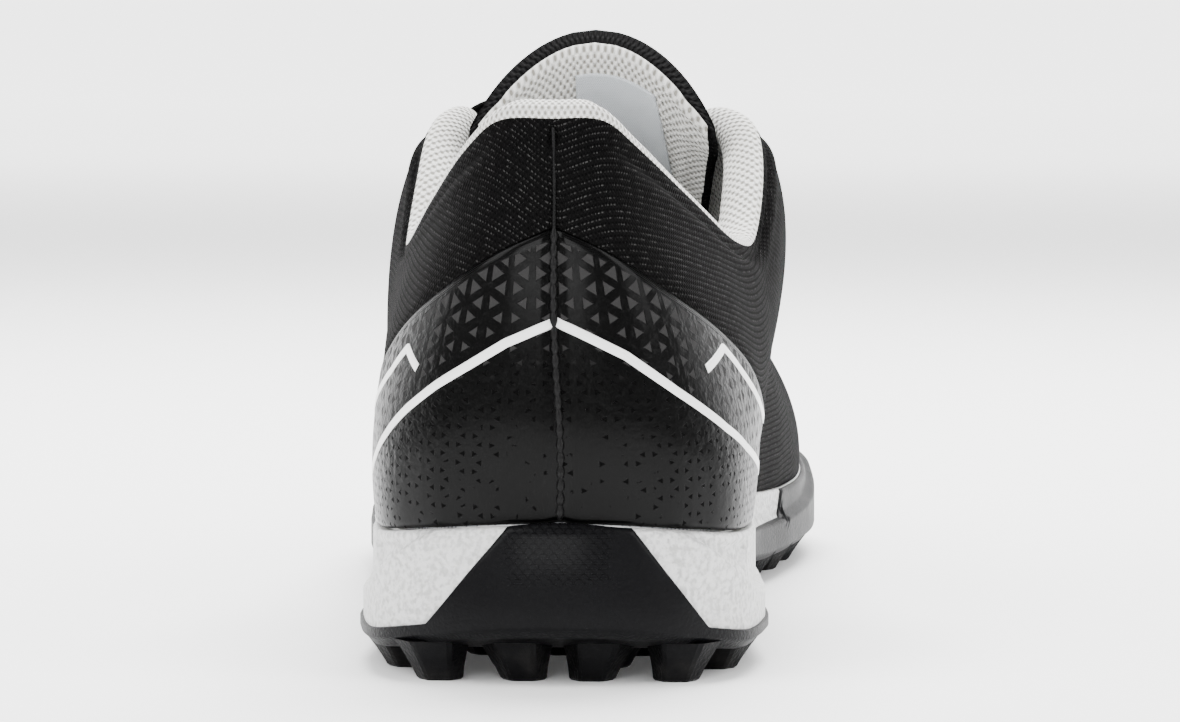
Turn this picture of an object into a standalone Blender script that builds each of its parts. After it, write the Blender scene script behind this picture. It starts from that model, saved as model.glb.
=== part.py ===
"""Turf shoe for the left foot, built as a shoemaker builds one: outsole, midsole, insole, upper, overlays, tongue, lace.

Design frame: the heel's rearmost point is at y = 0 and the toe points along +Y. The medial (inner) side of
this left shoe is +X, and the ground is z = 0. An empty carries every piece, so that the world's origin is
on the ground under the middle of the shoe.

A station runs from 0 at the middle of the heel to 1 at the toe tip. It is positive along the medial side
and negative along the lateral side, so that one number names a place round the shoe.
"""

import math

import bmesh
import bpy
import numpy as np

# Last and sole, in metres
SOLE_LENGTH = 0.290
BALL_WIDTH = 0.091
HEEL_WIDTH = 0.072
HEEL_STACK = 0.0235
FOREFOOT_STACK = 0.0165
TOE_SPRING = 0.010
HEEL_BEVEL = 0.004
ARCH_RISE = 0.0015
LUG_HEIGHT = 0.0045
PLATE_THICKNESS = 0.0022
CUP_LIP = 0.0010
WRAP_THICKNESS = 0.0022
WRAP_PROUD = 0.0006
WRAP_FOOT_INSET = 0.0002
WRAP_FOOT_RISE = 0.0016
FOAM_FOOT_INSET = 0.0008
FOAM_FOOT_DEPTH = 0.0012
CUP_REACH = 0.0030
HEEL_RIM_RISE = 0.0035
RIM_RISE = 0.0008
LEDGE_BLEND = 0.0012
RIM_SEAT = 0.0048
RIM_SLOPE = 0.0010

# Upper, in metres
BACK_HEIGHT = 0.0980
INSTEP_HEIGHT = 0.0985
UPPER_WALL = 0.0022
UPPER_INSET = 0.0007
OVERLAY_THICKNESS = 0.0007
EYESTAY_STEP = 0.0007
COLLAR_ROLL = 0.0027
THROAT_ROLL = 0.0005

# Insole, tongue and lace, in metres
INSOLE_THICKNESS = 0.0035
INSOLE_MARGIN = 0.0060
INSOLE_EDGE = 0.0009
INSOLE_EDGE_TOP = 0.0020
INSOLE_EDGE_RUN = 0.0070
TONGUE_RISE = 0.0145
EYELET_RADIUS = 0.0021
EYELET_DRILL = 0.0140
LACE_WIDTH = 0.0058
LACE_THICKNESS = 0.0014
LACE_HOVER = 0.0005
LACE_EDGE_MARGIN = 0.0022

# Lugs, in metres
LUG_PITCH_ALONG = 0.0172
LUG_PITCH_ACROSS = 0.0138
LUG_ROOT_RADIUS = 0.0066
LUG_TIP_RADIUS = 0.0040
LUG_DEPTH_SHARE = 0.78
LUG_TIP_SHIFT = 0.0014
LUG_EDGE_MARGIN = 0.0066
LUG_OVERLAP = 0.0014

GAP = 0.0003
COLUMNS_PER_SIDE = 42
EYELET_PAIRS = 6

# Outline of the sole at its widest tier, as shares of the length and of the local width.
# station, along, medial, lateral
OUTLINE = (
    (0.000, 0.000, 0.004, 0.004),
    (0.053, 0.012, 0.244, -0.249),
    (0.101, 0.048, 0.406, -0.421),
    (0.177, 0.131, 0.485, -0.515),
    (0.259, 0.224, 0.456, -0.515),
    (0.351, 0.328, 0.387, -0.495),
    (0.428, 0.414, 0.344, -0.490),
    (0.520, 0.517, 0.357, -0.508),
    (0.613, 0.621, 0.415, -0.538),
    (0.675, 0.690, 0.448, -0.551),
    (0.767, 0.793, 0.453, -0.519),
    (0.842, 0.876, 0.401, -0.432),
    (0.907, 0.941, 0.296, -0.302),
    (0.961, 0.984, 0.159, -0.138),
    (1.000, 1.000, 0.028, 0.028),
)

# Side of the midsole: how far the rim sits in, as a share of the heel width, and the height of the ledge,
# as a share of the side's own height.
# station, rim_in, ledge
SIDE = (
    (0.000, 0.040, 1.30),
    (0.053, 0.036, 1.12),
    (0.080, 0.030, 0.93),
    (0.120, 0.026, 0.62),
    (0.160, 0.025, 0.44),
    (0.259, 0.025, 0.42),
    (0.428, 0.025, 0.46),
    (0.613, 0.025, 0.50),
    (0.767, 0.028, 0.80),
    (0.842, 0.030, 1.15),
    (1.000, 0.034, 1.30),
)

# Height of the outsole's rubber up the side, as a share of the side's height, ahead of the heel wrap.
# station, medial, lateral
WRAP = (
    (0.000, 0.08, 0.08),
    (0.259, 0.08, 0.08),
    (0.351, 0.12, 0.12),
    (0.428, 0.24, 0.22),
    (0.520, 0.42, 0.36),
    (0.613, 0.50, 0.44),
    (1.000, 0.50, 0.50),
)
HEEL_WRAP_SHIFT = 0.0022
HEEL_WRAP_TOP = 0.011
HEEL_WRAP_RUN = 0.016
HEEL_WRAP_POWER = 1.15
TOE_WRAP_MEDIAL = 0.585
TOE_WRAP_LATERAL = 0.640

# Top edge of the upper, from the back of the collar through the ankle dip and the top of the eyestay to
# the end of the throat. Along is a share of the length, medial and lateral are shares of the heel width,
# and the height is back times BACK_HEIGHT plus instep times INSTEP_HEIGHT.
# station, along, medial, lateral, back, instep
TOPLINE = (
    (0.000, 0.0210, -0.015, -0.015, 1.000, 0.000),
    (0.053, 0.0260, 0.108, -0.146, 0.997, 0.000),
    (0.101, 0.0534, 0.180, -0.226, 0.949, 0.000),
    (0.177, 0.1310, 0.303, -0.340, 0.846, 0.000),
    (0.259, 0.2310, 0.417, -0.438, 0.750, 0.000),
    (0.305, 0.2828, 0.449, -0.460, 0.540, 0.212),
    (0.351, 0.3310, 0.466, -0.450, 0.340, 0.520),
    (0.395, 0.3724, 0.444, -0.430, 0.120, 0.835),
    (0.430, 0.4000, 0.368, -0.380, 0.000, 0.985),
    (0.465, 0.4224, 0.285, -0.320, 0.000, 0.980),
    (0.520, 0.4759, 0.222, -0.264, 0.000, 0.905),
    (0.613, 0.5621, 0.174, -0.201, 0.000, 0.785),
    (0.675, 0.6172, 0.139, -0.160, 0.000, 0.710),
    (0.767, 0.6534, 0.083, -0.100, 0.000, 0.660),
    (0.842, 0.6628, 0.049, -0.063, 0.000, 0.648),
    (0.907, 0.6655, 0.025, -0.039, 0.000, 0.644),
    (0.961, 0.6662, 0.006, -0.020, 0.000, 0.642),
    (1.000, 0.6666, -0.007, -0.007, 0.000, 0.642),
)

# Fullness of the upper's wall between the sole and the top edge. Outward reaches are shares of the heel
# width, upward ones are shares of the wall's own height, and along is a share of the way back to the sole.
# station, low_medial, low_lateral, low_up, top_medial, top_lateral, top_along, top_up
FULLNESS = (
    (0.000, 0.097, 0.097, 0.32, -0.042, -0.042, 0.00, -0.29),
    (0.053, 0.090, 0.090, 0.32, -0.021, -0.021, 0.00, -0.29),
    (0.101, 0.070, 0.070, 0.34, 0.030, 0.021, 0.00, -0.28),
    (0.177, 0.048, 0.045, 0.38, 0.090, 0.069, 0.00, -0.28),
    (0.259, 0.060, 0.045, 0.34, 0.090, 0.060, 0.00, -0.28),
    (0.351, 0.090, 0.045, 0.30, 0.100, 0.090, 0.00, -0.24),
    (0.395, 0.105, 0.042, 0.31, 0.160, 0.150, 0.00, -0.21),
    (0.430, 0.125, 0.035, 0.32, 0.280, 0.220, 0.00, -0.18),
    (0.465, 0.125, 0.042, 0.32, 0.250, 0.190, 0.10, -0.13),
    (0.520, 0.090, 0.042, 0.38, 0.120, 0.090, 0.33, -0.09),
    (0.613, 0.056, 0.035, 0.42, 0.028, 0.028, 0.48, -0.08),
    (0.675, 0.021, 0.021, 0.42, 0.000, 0.000, 0.52, -0.08),
    (0.767, 0.021, 0.021, 0.45, 0.000, 0.000, 0.50, -0.08),
    (0.842, 0.021, 0.021, 0.50, 0.000, 0.000, 0.48, -0.10),
    (1.000, 0.021, 0.021, 0.50, 0.000, 0.000, 0.48, -0.10),
)

# Padding at the top edge as a multiple of the plain wall, and the height of the heel counter's edge as a
# share of the wall: it falls from a peak at the back seam to the sole under the ankle. Ahead of the
# counter the same column only spaces the rows of the upper.
# station, padding, overlay
WALL = (
    (0.000, 3.0, 0.720),
    (0.053, 3.1, 0.650),
    (0.101, 3.3, 0.590),
    (0.177, 3.8, 0.500),
    (0.259, 4.2, 0.385),
    (0.305, 4.2, 0.300),
    (0.351, 4.1, 0.190),
    (0.395, 3.6, 0.100),
    (0.430, 2.8, 0.110),
    (0.465, 1.8, 0.160),
    (0.520, 1.3, 0.230),
    (0.675, 1.2, 0.280),
    (0.842, 1.2, 0.280),
    (1.000, 1.2, 0.280),
)
COUNTER_END = 0.390
EYESTAY_EDGE = 0.84
COUNTER_ROWS = (0.0, 0.25, 0.5, 0.75, 1.0)
STEP_RUN = 0.008

# Tongue from under the vamp to its free top edge. Along is a share of the length, the height is instep times
# INSTEP_HEIGHT plus rise times TONGUE_RISE, half is a share of the heel width, radius the arch's radius as a
# share of the heel width, thick a multiple of the upper's wall, lean how far the edges fall back, as a share
# of the heel width, and fall how far they drop, as a share of the tongue's rise.
# along, instep, rise, half, radius, thick, lean, fall
TONGUE = (
    (0.7000, 0.548, 0.000, 0.260, 0.46, 0.9, 0.00, 0.00),
    (0.6400, 0.625, 0.000, 0.280, 0.42, 1.1, 0.02, 0.00),
    (0.5800, 0.717, 0.000, 0.300, 0.40, 1.4, 0.04, 0.00),
    (0.5200, 0.819, 0.000, 0.325, 0.39, 1.8, 0.06, 0.00),
    (0.4700, 0.905, 0.040, 0.355, 0.40, 2.3, 0.07, 0.08),
    (0.4350, 0.960, 0.220, 0.378, 0.42, 2.8, 0.07, 0.23),
    (0.4130, 0.990, 0.520, 0.392, 0.44, 3.1, 0.06, 0.62),
    (0.4020, 1.000, 0.825, 0.388, 0.44, 3.0, 0.05, 0.93),
    (0.3980, 1.000, 1.000, 0.370, 0.44, 2.0, 0.04, 1.01),
)

TONGUE_MIDDLE = 0.010

COLOURS = {
    "outsole": ((0.012, 0.012, 0.014, 1.0), 0.55),
    "midsole": ((0.80, 0.80, 0.79, 1.0), 0.6),
    "insole": ((0.45, 0.46, 0.48, 1.0), 0.9),
    "upper": ((0.018, 0.017, 0.018, 1.0), 0.5),
    "heel_counter": ((0.010, 0.010, 0.011, 1.0), 0.18),
    "tongue": ((0.72, 0.72, 0.69, 1.0), 0.9),
    "lace": ((0.02, 0.02, 0.02, 1.0), 0.8),
}


def through(knots, values, at):
    """Smooth curve through a table: a cubic between rows, whose slope at a row is that of its neighbours."""
    knots = np.asarray(knots, float)
    values = np.asarray(values, float)
    at = np.asarray(at, float)
    slopes = np.gradient(values, knots)
    low = np.clip(np.searchsorted(knots, at, side="right") - 1, 0, len(knots) - 2)
    span = knots[low + 1] - knots[low]
    share = (at - knots[low]) / span
    rise = share * share * (3 - 2 * share)
    start = slopes[low] * span * share * (1 - share) ** 2
    end = slopes[low + 1] * span * share * share * (share - 1)
    return values[low] * (1 - rise) + values[low + 1] * rise + start + end


def around(table, medial, lateral, station):
    """A table's value at signed stations, smooth across the heel and the toe. medial and lateral are columns."""
    rows = np.asarray(table, float)
    knots = np.concatenate([-rows[:0:-1, 0], rows[:, 0]])
    values = np.concatenate([rows[:0:-1, lateral], rows[:, medial]])
    knots = np.concatenate([knots[-4:-1] - 2, knots, knots[1:4] + 2])
    values = np.concatenate([values[-4:-1], values, values[1:4]])
    return through(knots, values, station)


def ease(share):
    """0 before 0, 1 after 1, and a smooth rise between."""
    share = np.clip(share, 0, 1)
    return share * share * (3 - 2 * share)


def local_width(along):
    """The sole's full width by length: the heel width, blending to the ball width through the waist."""
    return HEEL_WIDTH + (BALL_WIDTH - HEEL_WIDTH) * ease((along - 0.15) / 0.47)


def outline(station):
    """x and y of the sole's widest line at a station."""
    along = around(OUTLINE, 1, 1, station)
    side = around(OUTLINE, 2, 3, station)
    return side * local_width(along), along * SOLE_LENGTH


def outward(station):
    """Horizontal unit vector pointing out of the outline at a station."""
    step = 1e-3
    ahead = np.stack(outline(station + step), -1)
    behind = np.stack(outline(station - step), -1)
    run = ahead - behind
    run /= np.linalg.norm(run, axis=-1, keepdims=True)
    return np.stack([run[..., 1], -run[..., 0]], -1)


def spring(along):
    """How far the toe is lifted at a place along the length."""
    return TOE_SPRING * np.clip((along - 0.70) / 0.30, 0, 1) ** 1.7


def root_height(along):
    """Height of the outsole's underside between the lugs."""
    bevel = HEEL_BEVEL * np.clip((0.075 - along) / 0.075, 0, 1) ** 1.5
    arch = ARCH_RISE * ease((along - 0.25) / 0.1) * ease((0.56 - along) / 0.1)
    return LUG_HEIGHT + spring(along) + bevel + arch


def floor_height(along):
    """Height of the midsole's top inside the shoe."""
    heel = ease((0.65 - along) / 0.40)
    return FOREFOOT_STACK + (HEEL_STACK - FOREFOOT_STACK) * heel + spring(along)


def arc_from_heel(station):
    """Rough distance along the outline from the middle of the heel."""
    return np.abs(station) * 1.13 * SOLE_LENGTH


def rim_height(station):
    """Height of the midsole's rim, which is raised round the back of the heel and at the toe."""
    along = around(OUTLINE, 1, 1, station)
    back = HEEL_RIM_RISE * (1 - ease(arc_from_heel(station) / (0.8 * HEEL_WIDTH)))
    front = RIM_RISE * ease((np.abs(station) - 0.8) / 0.2)
    return floor_height(along) + RIM_RISE + back + front


def plate_top(station):
    """Height of the outsole's upper face under the midsole."""
    return root_height(around(OUTLINE, 1, 1, station)) + PLATE_THICKNESS


def wrap_share(station):
    """How much of the side the outsole's rubber covers: all of it behind the heel and round the toe."""
    size = np.abs(station)
    shift = HEEL_WRAP_SHIFT / arc_from_heel(1.0)
    away = np.clip((arc_from_heel(station - shift) - HEEL_WRAP_TOP) / HEEL_WRAP_RUN, 0, 1)
    heel = (1 - away) ** HEEL_WRAP_POWER
    side = around(WRAP, 1, 2, station)
    start = np.where(station > 0, TOE_WRAP_MEDIAL, TOE_WRAP_LATERAL)
    toe = ease((size - start) / 0.02)
    return np.maximum(np.maximum(heel, side), toe)


def wrap_height(station):
    """Height of the top of the outsole's rubber."""
    low = plate_top(station)
    high = low + wrap_share(station) * (rim_height(station) - low)
    return np.maximum(high, low + CUP_LIP)


def side_inset(station, height):
    """How far the sole's side sits in from the outline at a height: a step at the ledge and a lean above it."""
    low = plate_top(station)
    share = np.clip((height - low) / (rim_height(station) - low), 0, 1)
    rim_in = around(SIDE, 1, 1, station) * HEEL_WIDTH
    ledge = around(SIDE, 2, 2, station)
    blend = LEDGE_BLEND / (rim_height(station) - low)
    step = ease((share - ledge) / (2 * blend) + 0.5)
    lean = share * share
    stepped = ease((1.1 - ledge) / 0.2)
    return rim_in * (step * stepped + lean * (1 - stepped))


def sole_point(station, inset, height):
    """A point inset from the outline, at a height."""
    x, y = outline(station)
    out = outward(station)
    return np.stack([x - out[..., 0] * inset, y - out[..., 1] * inset, height], -1)


def rim_inset(station):
    """Inset of the midsole's rim."""
    return side_inset(station, rim_height(station))


def foot_line(station):
    """Lower edge of the upper, on the midsole's rim."""
    inset = rim_inset(station) + UPPER_INSET
    return sole_point(station, inset, rim_height(station) + GAP)


def top_line(station):
    """Upper edge of the upper's outside."""
    x = around(TOPLINE, 2, 3, station) * HEEL_WIDTH
    y = around(TOPLINE, 1, 1, station) * SOLE_LENGTH
    z = around(TOPLINE, 4, 4, station) * BACK_HEIGHT + around(TOPLINE, 5, 5, station) * INSTEP_HEIGHT
    return np.stack([x, y, z], -1)


def last(station, share):
    """Outermost face of the upper at a station and a share of the way from the sole to the top edge.

    It is a cubic Bezier in space: the lower handle lifts out of the sole, and the upper handle leans out
    at the collar, or runs back towards the sole over the vamp.
    """
    station, share = np.broadcast_arrays(np.asarray(station, float), np.asarray(share, float))
    low = foot_line(station)
    top = top_line(station)
    out = outward(station)
    out = np.concatenate([out, np.zeros(out.shape[:-1] + (1,))], -1)
    up = np.array([0.0, 0.0, 1.0])
    tall = (top - low)[..., 2:]
    low_out = around(FULLNESS, 1, 2, station)[..., None] * HEEL_WIDTH
    low_up = around(FULLNESS, 3, 3, station)[..., None] * tall
    top_out = around(FULLNESS, 4, 5, station)[..., None] * HEEL_WIDTH
    back = around(FULLNESS, 6, 6, station)[..., None] * (low - top) * np.array([1.0, 1.0, 0.0])
    top_up = around(FULLNESS, 7, 7, station)[..., None] * tall
    first = low + out * low_out + up * low_up
    second = top + out * top_out + back + up * top_up
    s = share[..., None]
    r = 1 - s
    return low * r**3 + first * 3 * s * r**2 + second * 3 * s**2 * r + top * s**3


def last_normal(station, share):
    """Unit normal of the last, pointing out of the shoe."""
    step = 2e-3
    share = np.asarray(share, float)
    above = np.minimum(share + step, 1)
    below = np.maximum(share - step, 0)
    along = last(station + step, share) - last(station - step, share)
    upward = last(station, above) - last(station, below)
    normal = np.cross(along, upward)
    return normal / np.linalg.norm(normal, axis=-1, keepdims=True)


def overlay_edge(station):
    """Share of the wall at which the heel counter ends. Its two sides meet in a peak at the back seam."""
    rows = np.asarray(WALL, float)
    return through(rows[:, 0], rows[:, 2], np.abs((station + 1) % 2 - 1))


def under_overlay(station, share):
    """1 where the upper's wall is cut back to take the counter, and 0 elsewhere."""
    covered = np.abs(station) < COUNTER_END + 0.012
    return (covered & (share < overlay_edge(station))).astype(float)


def wall_thickness(station, share):
    """Thickness of the upper, which is padded towards the collar."""
    padding = around(WALL, 1, 1, station)
    return UPPER_WALL * (1 + (padding - 1) * ease((share - 0.30) / 0.45))


def eyestay(station, share):
    """1 on the raised band beside the throat, and 0 elsewhere."""
    size = np.abs(station)
    return ((size > 0.44) & (share > EYESTAY_EDGE)).astype(float)


def stations(first=-1.0, last_one=1.0, count=2 * COLUMNS_PER_SIDE, closed=True):
    """Even stations round the shoe, or along a stretch of it."""
    return np.linspace(first, last_one, count, endpoint=not closed)


def make_object(name, vertices, faces, colour, collection):
    """A mesh object with its own plain material."""
    mesh = bpy.data.meshes.new(name)
    mesh.from_pydata([tuple(v) for v in vertices], [], faces)
    mesh.update()
    obj = bpy.data.objects.new(name, mesh)
    collection.objects.link(obj)
    if colour is not None:
        mesh.materials.append(make_material(name, *colour))
    tidy_normals(mesh)
    return obj


def make_material(name, base, roughness):
    """A Principled BSDF in one colour."""
    material = bpy.data.materials.new(name)
    material.use_nodes = True
    shader = material.node_tree.nodes["Principled BSDF"]
    shader.inputs["Base Color"].default_value = base
    shader.inputs["Roughness"].default_value = roughness
    return material


def tidy_normals(mesh):
    """Turns every face outwards."""
    work = bmesh.new()
    work.from_mesh(mesh)
    bmesh.ops.recalc_face_normals(work, faces=work.faces)
    work.to_mesh(mesh)
    work.free()


def ring_faces(rows, columns, closed_columns, first_row_to_last):
    """Quads of a grid whose vertices are numbered row by row."""
    faces = []
    last_column = columns if closed_columns else columns - 1
    last_row = rows if first_row_to_last else rows - 1
    for row in range(last_row):
        for column in range(last_column):
            right = (column + 1) % columns
            above = (row + 1) % rows
            faces.append(
                (row * columns + column, row * columns + right, above * columns + right, above * columns + column)
            )
    return faces


def rung_faces(offset, columns):
    """Quads across a closed ring of columns, joining each medial column to the lateral one opposite."""
    faces = []
    half = columns // 2
    for step in range(half):
        a, b = offset + (half + step) % columns, offset + (half + step + 1) % columns
        c, d = offset + (half - step - 1) % columns, offset + (half - step) % columns
        faces.append(tuple(dict.fromkeys((a, b, c, d))))
    return faces


def solid_ring(name, rows, colour, collection):
    """Closed solid from rows of points round the shoe, with its first and last rows filled across."""
    count = len(rows[0])
    vertices = np.concatenate(rows)
    quads = ring_faces(len(rows), count, True, False)
    faces = [quad[:3] for quad in quads] + [(quad[0], quad[2], quad[3]) for quad in quads]
    faces += rung_faces(0, count)
    faces += rung_faces((len(rows) - 1) * count, count)
    return make_object(name, vertices, faces, colour, collection)


def sheet_solid(name, outer, inner, colour, collection):
    """Closed solid between two grids of points with the same rows and columns."""
    rows, columns = outer.shape[:2]
    size = rows * columns
    vertices = np.concatenate([outer.reshape(-1, 3), inner.reshape(-1, 3)])
    faces = []
    for row in range(rows - 1):
        for column in range(columns - 1):
            a = row * columns + column
            b, c, d = a + 1, a + columns + 1, a + columns
            faces.append((a, b, c, d))
            faces.append((a + size, d + size, c + size, b + size))
    for column in range(columns - 1):
        a, b = column, column + 1
        faces.append((a, a + size, b + size, b))
        a, b = a + (rows - 1) * columns, b + (rows - 1) * columns
        faces.append((a, b, b + size, a + size))
    for row in range(rows - 1):
        a, b = row * columns, (row + 1) * columns
        faces.append((a, b, b + size, a + size))
        a, b = a + columns - 1, b + columns - 1
        faces.append((a, a + size, b + size, b))
    return make_object(name, vertices, faces, colour, collection)


def boolean(obj, other, operation):
    """Adds a Boolean with the exact solver."""
    modifier = obj.modifiers.new(operation.lower(), "BOOLEAN")
    modifier.operation = operation
    modifier.object = other
    modifier.solver = "EXACT"
    modifier.use_self = operation == "UNION"


def hide_cutter(obj):
    """Marks an object that only cuts or joins another."""
    obj.hide_render = True
    obj.display_type = "WIRE"


def cup_rows(grow, reach):
    """Rows of the outsole's cup from its underside, up its side and down inside to the plate."""
    at = stations()
    low = root_height(around(OUTLINE, 1, 1, at)) - grow
    plate = plate_top(at) + grow
    step = 1e-3
    rise = (wrap_height(at + step) - wrap_height(at - step)) / (2 * step * arc_from_heel(1.0))
    top = wrap_height(at) + grow * np.sqrt(1 + rise**2)
    waist = plate_top(at) + 0.5 * (wrap_height(at) - plate_top(at))
    inner = side_inset(at, wrap_height(at)) + WRAP_THICKNESS + grow
    rows = [
        sole_point(at, WRAP_THICKNESS + np.zeros_like(at) - reach, low),
        sole_point(at, WRAP_FOOT_INSET + np.zeros_like(at) - reach, low + WRAP_FOOT_RISE),
        sole_point(at, side_inset(at, waist) - WRAP_PROUD - reach, waist),
        sole_point(at, side_inset(at, wrap_height(at)) - WRAP_PROUD - reach, top - GAP),
        sole_point(at, side_inset(at, wrap_height(at)) - reach, top),
        sole_point(at, inner - WRAP_THICKNESS - grow, top),
        sole_point(at, inner, top),
        sole_point(at, inner, plate),
    ]
    if reach == 0:
        del rows[4]
    return rows


def lug_places():
    """Centres of the lugs: staggered rows inside the outline, with a bare channel down the arch."""
    at = np.linspace(0, 1, 200)
    x_medial, y_medial = outline(at)
    x_lateral, y_lateral = outline(-at)
    places = []
    rows = int((SOLE_LENGTH - 2 * LUG_PITCH_ALONG * 0.72) / LUG_PITCH_ALONG)
    for row in range(rows + 1):
        y = LUG_PITCH_ALONG * (0.72 + row)
        right = np.interp(y, y_medial, x_medial) - LUG_EDGE_MARGIN
        left = np.interp(y, y_lateral, x_lateral) + LUG_EDGE_MARGIN
        across = right - left
        count = max(2, int(across / LUG_PITCH_ACROSS) + 1 - row % 2)
        in_arch = 0.33 < y / SOLE_LENGTH < 0.50
        for column in range(count):
            if in_arch and 0 < column < count - 1:
                continue
            places.append((left + across * (column + 0.0) / (count - 1), y, (left + right) / 2))
    return places


def make_lugs(collection):
    """Tapered six-sided lugs, leaning towards the middle of the sole, as one cutter-like helper mesh."""
    work = bmesh.new()
    for x, y, middle in lug_places():
        along = y / SOLE_LENGTH
        tip = spring(along) + ARCH_RISE * (0.30 < along < 0.53)
        tall = root_height(along) + LUG_OVERLAP - tip
        made = bmesh.ops.create_cone(
            work,
            cap_ends=True,
            segments=6,
            radius1=LUG_TIP_RADIUS,
            radius2=LUG_ROOT_RADIUS,
            depth=tall,
        )
        shift = LUG_TIP_SHIFT * np.sign(middle - x)
        for vertex in made["verts"]:
            if vertex.co.z < 0:
                vertex.co.x += shift
            vertex.co.x += x
            vertex.co.y = vertex.co.y * LUG_DEPTH_SHARE + y
            vertex.co.z += tip + tall / 2
    mesh = bpy.data.meshes.new("lugs")
    work.to_mesh(mesh)
    work.free()
    obj = bpy.data.objects.new("lugs", mesh)
    collection.objects.link(obj)
    hide_cutter(obj)
    return obj


def make_outsole(shoe, helpers):
    """Rubber outsole: a plate with a cup wall that wraps the heel and the toe, and its lugs."""
    outsole = solid_ring("outsole", cup_rows(0.0, 0.0), COLOURS["outsole"], shoe)
    boolean(outsole, make_lugs(helpers), "UNION")
    return outsole


def make_midsole(shoe, helpers):
    """Foam midsole with a ledge along its side, let into the outsole's cup with a gap all round."""
    at = stations()
    low = plate_top(at)
    rim = rim_height(at)
    ledge = np.clip(around(SIDE, 2, 2, at), 0.12, 0.88)
    blend = LEDGE_BLEND / (rim - low)
    under = low + (rim - low) * np.clip(ledge - blend, 0.06, 0.82)
    over = low + (rim - low) * np.clip(ledge + blend, 0.18, 0.94)
    along = around(OUTLINE, 1, 1, at)
    rows = [
        sole_point(at, FOAM_FOOT_INSET + np.zeros_like(at), low - FOAM_FOOT_DEPTH),
        sole_point(at, side_inset(at, under), under),
        sole_point(at, side_inset(at, over), over),
        sole_point(at, rim_inset(at), rim),
        sole_point(at, rim_inset(at) + RIM_SEAT - RIM_SLOPE, rim),
        sole_point(at, rim_inset(at) + RIM_SEAT, floor_height(along)),
    ]
    midsole = solid_ring("midsole", rows, COLOURS["midsole"], shoe)
    cutter = solid_ring("outsole_space", cup_rows(GAP, CUP_REACH), None, helpers)
    hide_cutter(cutter)
    boolean(midsole, cutter, "DIFFERENCE")
    return midsole


def make_insole(shoe):
    """Loose insole on the midsole's floor, with a low turned-up edge."""
    at = stations()
    along = around(OUTLINE, 1, 1, at)
    floor = floor_height(along) + GAP
    edge = rim_inset(at) + INSOLE_MARGIN
    rows = [
        sole_point(at, edge, floor),
        sole_point(at, edge, floor + INSOLE_THICKNESS + INSOLE_EDGE),
        sole_point(at, edge + INSOLE_EDGE_TOP, floor + INSOLE_THICKNESS + INSOLE_EDGE),
        sole_point(at, edge + INSOLE_EDGE_RUN, floor + INSOLE_THICKNESS),
    ]
    return solid_ring("insole", rows, COLOURS["insole"], shoe)


def upper_face(station, share):
    """Outside of the upper itself: the last, cut back under the overlays, with the eyestay band raised."""
    cut = under_overlay(station, share) * (OVERLAY_THICKNESS + GAP)
    base = EYESTAY_STEP * (1 - eyestay(station, share))
    depth = np.maximum(cut, base * ease((np.abs(station) - 0.40) / 0.06) * ease((share - 0.1) / 0.4))
    return last(station, share) - last_normal(station, share) * depth[..., None]


def eyelet_stations():
    """Stations of the eyelets, evenly down the throat from just under its top corner."""
    return np.linspace(0.478, 0.668, EYELET_PAIRS)


def eyelet_share():
    """Share of the wall at which the eyelets sit."""
    return 0.925


def make_upper(shoe, helpers):
    """Hollow upper, open at the collar and throat and underneath, with its padded collar and eyelet holes."""
    at = stations()
    edge = overlay_edge(at)
    step = STEP_RUN / 2
    shares = [edge * part for part in COUNTER_ROWS[:-1]] + [edge - step, edge + step]
    shares += [edge + (EYESTAY_EDGE - step - edge) * part for part in (0.25, 0.5, 0.75, 1.0)]
    shares += [EYESTAY_EDGE + step + 0 * at, 0.92 + 0 * at, 1.0 + 0 * at]
    outer = [upper_face(at, share) for share in shares]
    rows = list(outer)

    normal = last_normal(at, 1.0 + 0 * at)
    lift = last(at, 1.0 + 0 * at) - last(at, 0.98 + 0 * at)
    lift /= np.linalg.norm(lift, axis=-1, keepdims=True)
    thick = wall_thickness(at, 1.0 + 0 * at)[:, None]
    collar = 1 - ease((np.abs(at) - 0.42) / 0.05)
    roll = (THROAT_ROLL + (COLLAR_ROLL - THROAT_ROLL) * collar)[:, None]
    top = last(at, 1.0 + 0 * at)
    for turn in (0.25, 0.5, 0.75):
        angle = math.pi * turn
        rows.append(top + lift * roll * math.sin(angle) - normal * thick * (1 - math.cos(angle)) / 2)

    for share in (1.0, 0.9, 0.75, 0.58, 0.40, 0.20, 0.0):
        level = share + 0 * at
        inner = last(at, level) - last_normal(at, level) * wall_thickness(at, level)[:, None]
        if share == 0.0:
            inner[:, 2] = rows[0][:, 2]
        rows.append(inner)

    count = len(at)
    faces = ring_faces(len(rows), count, True, True)
    upper = make_object("upper", np.concatenate(rows), faces, COLOURS["upper"], shoe)
    boolean(upper, make_eyelet_cutters(helpers), "DIFFERENCE")
    return upper


def make_eyelet_cutters(collection):
    """Short cylinders through the eyestay, one for each eyelet."""
    work = bmesh.new()
    for side in (1, -1):
        for station in eyelet_stations() * side:
            place = last(station, eyelet_share())
            normal = last_normal(station, eyelet_share())
            made = bmesh.ops.create_cone(
                work, cap_ends=True, segments=10, radius1=EYELET_RADIUS, radius2=EYELET_RADIUS, depth=EYELET_DRILL
            )
            turn = vector(normal).to_track_quat("Z", "Y").to_matrix().to_4x4()
            turn.translation = vector(place)
            bmesh.ops.transform(work, matrix=turn, verts=made["verts"])
    mesh = bpy.data.meshes.new("eyelet_cutters")
    work.to_mesh(mesh)
    work.free()
    obj = bpy.data.objects.new("eyelet_cutters", mesh)
    collection.objects.link(obj)
    hide_cutter(obj)
    return obj


def vector(values):
    """A Blender vector from three numbers."""
    from mathutils import Vector

    return Vector([float(value) for value in values])


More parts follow.
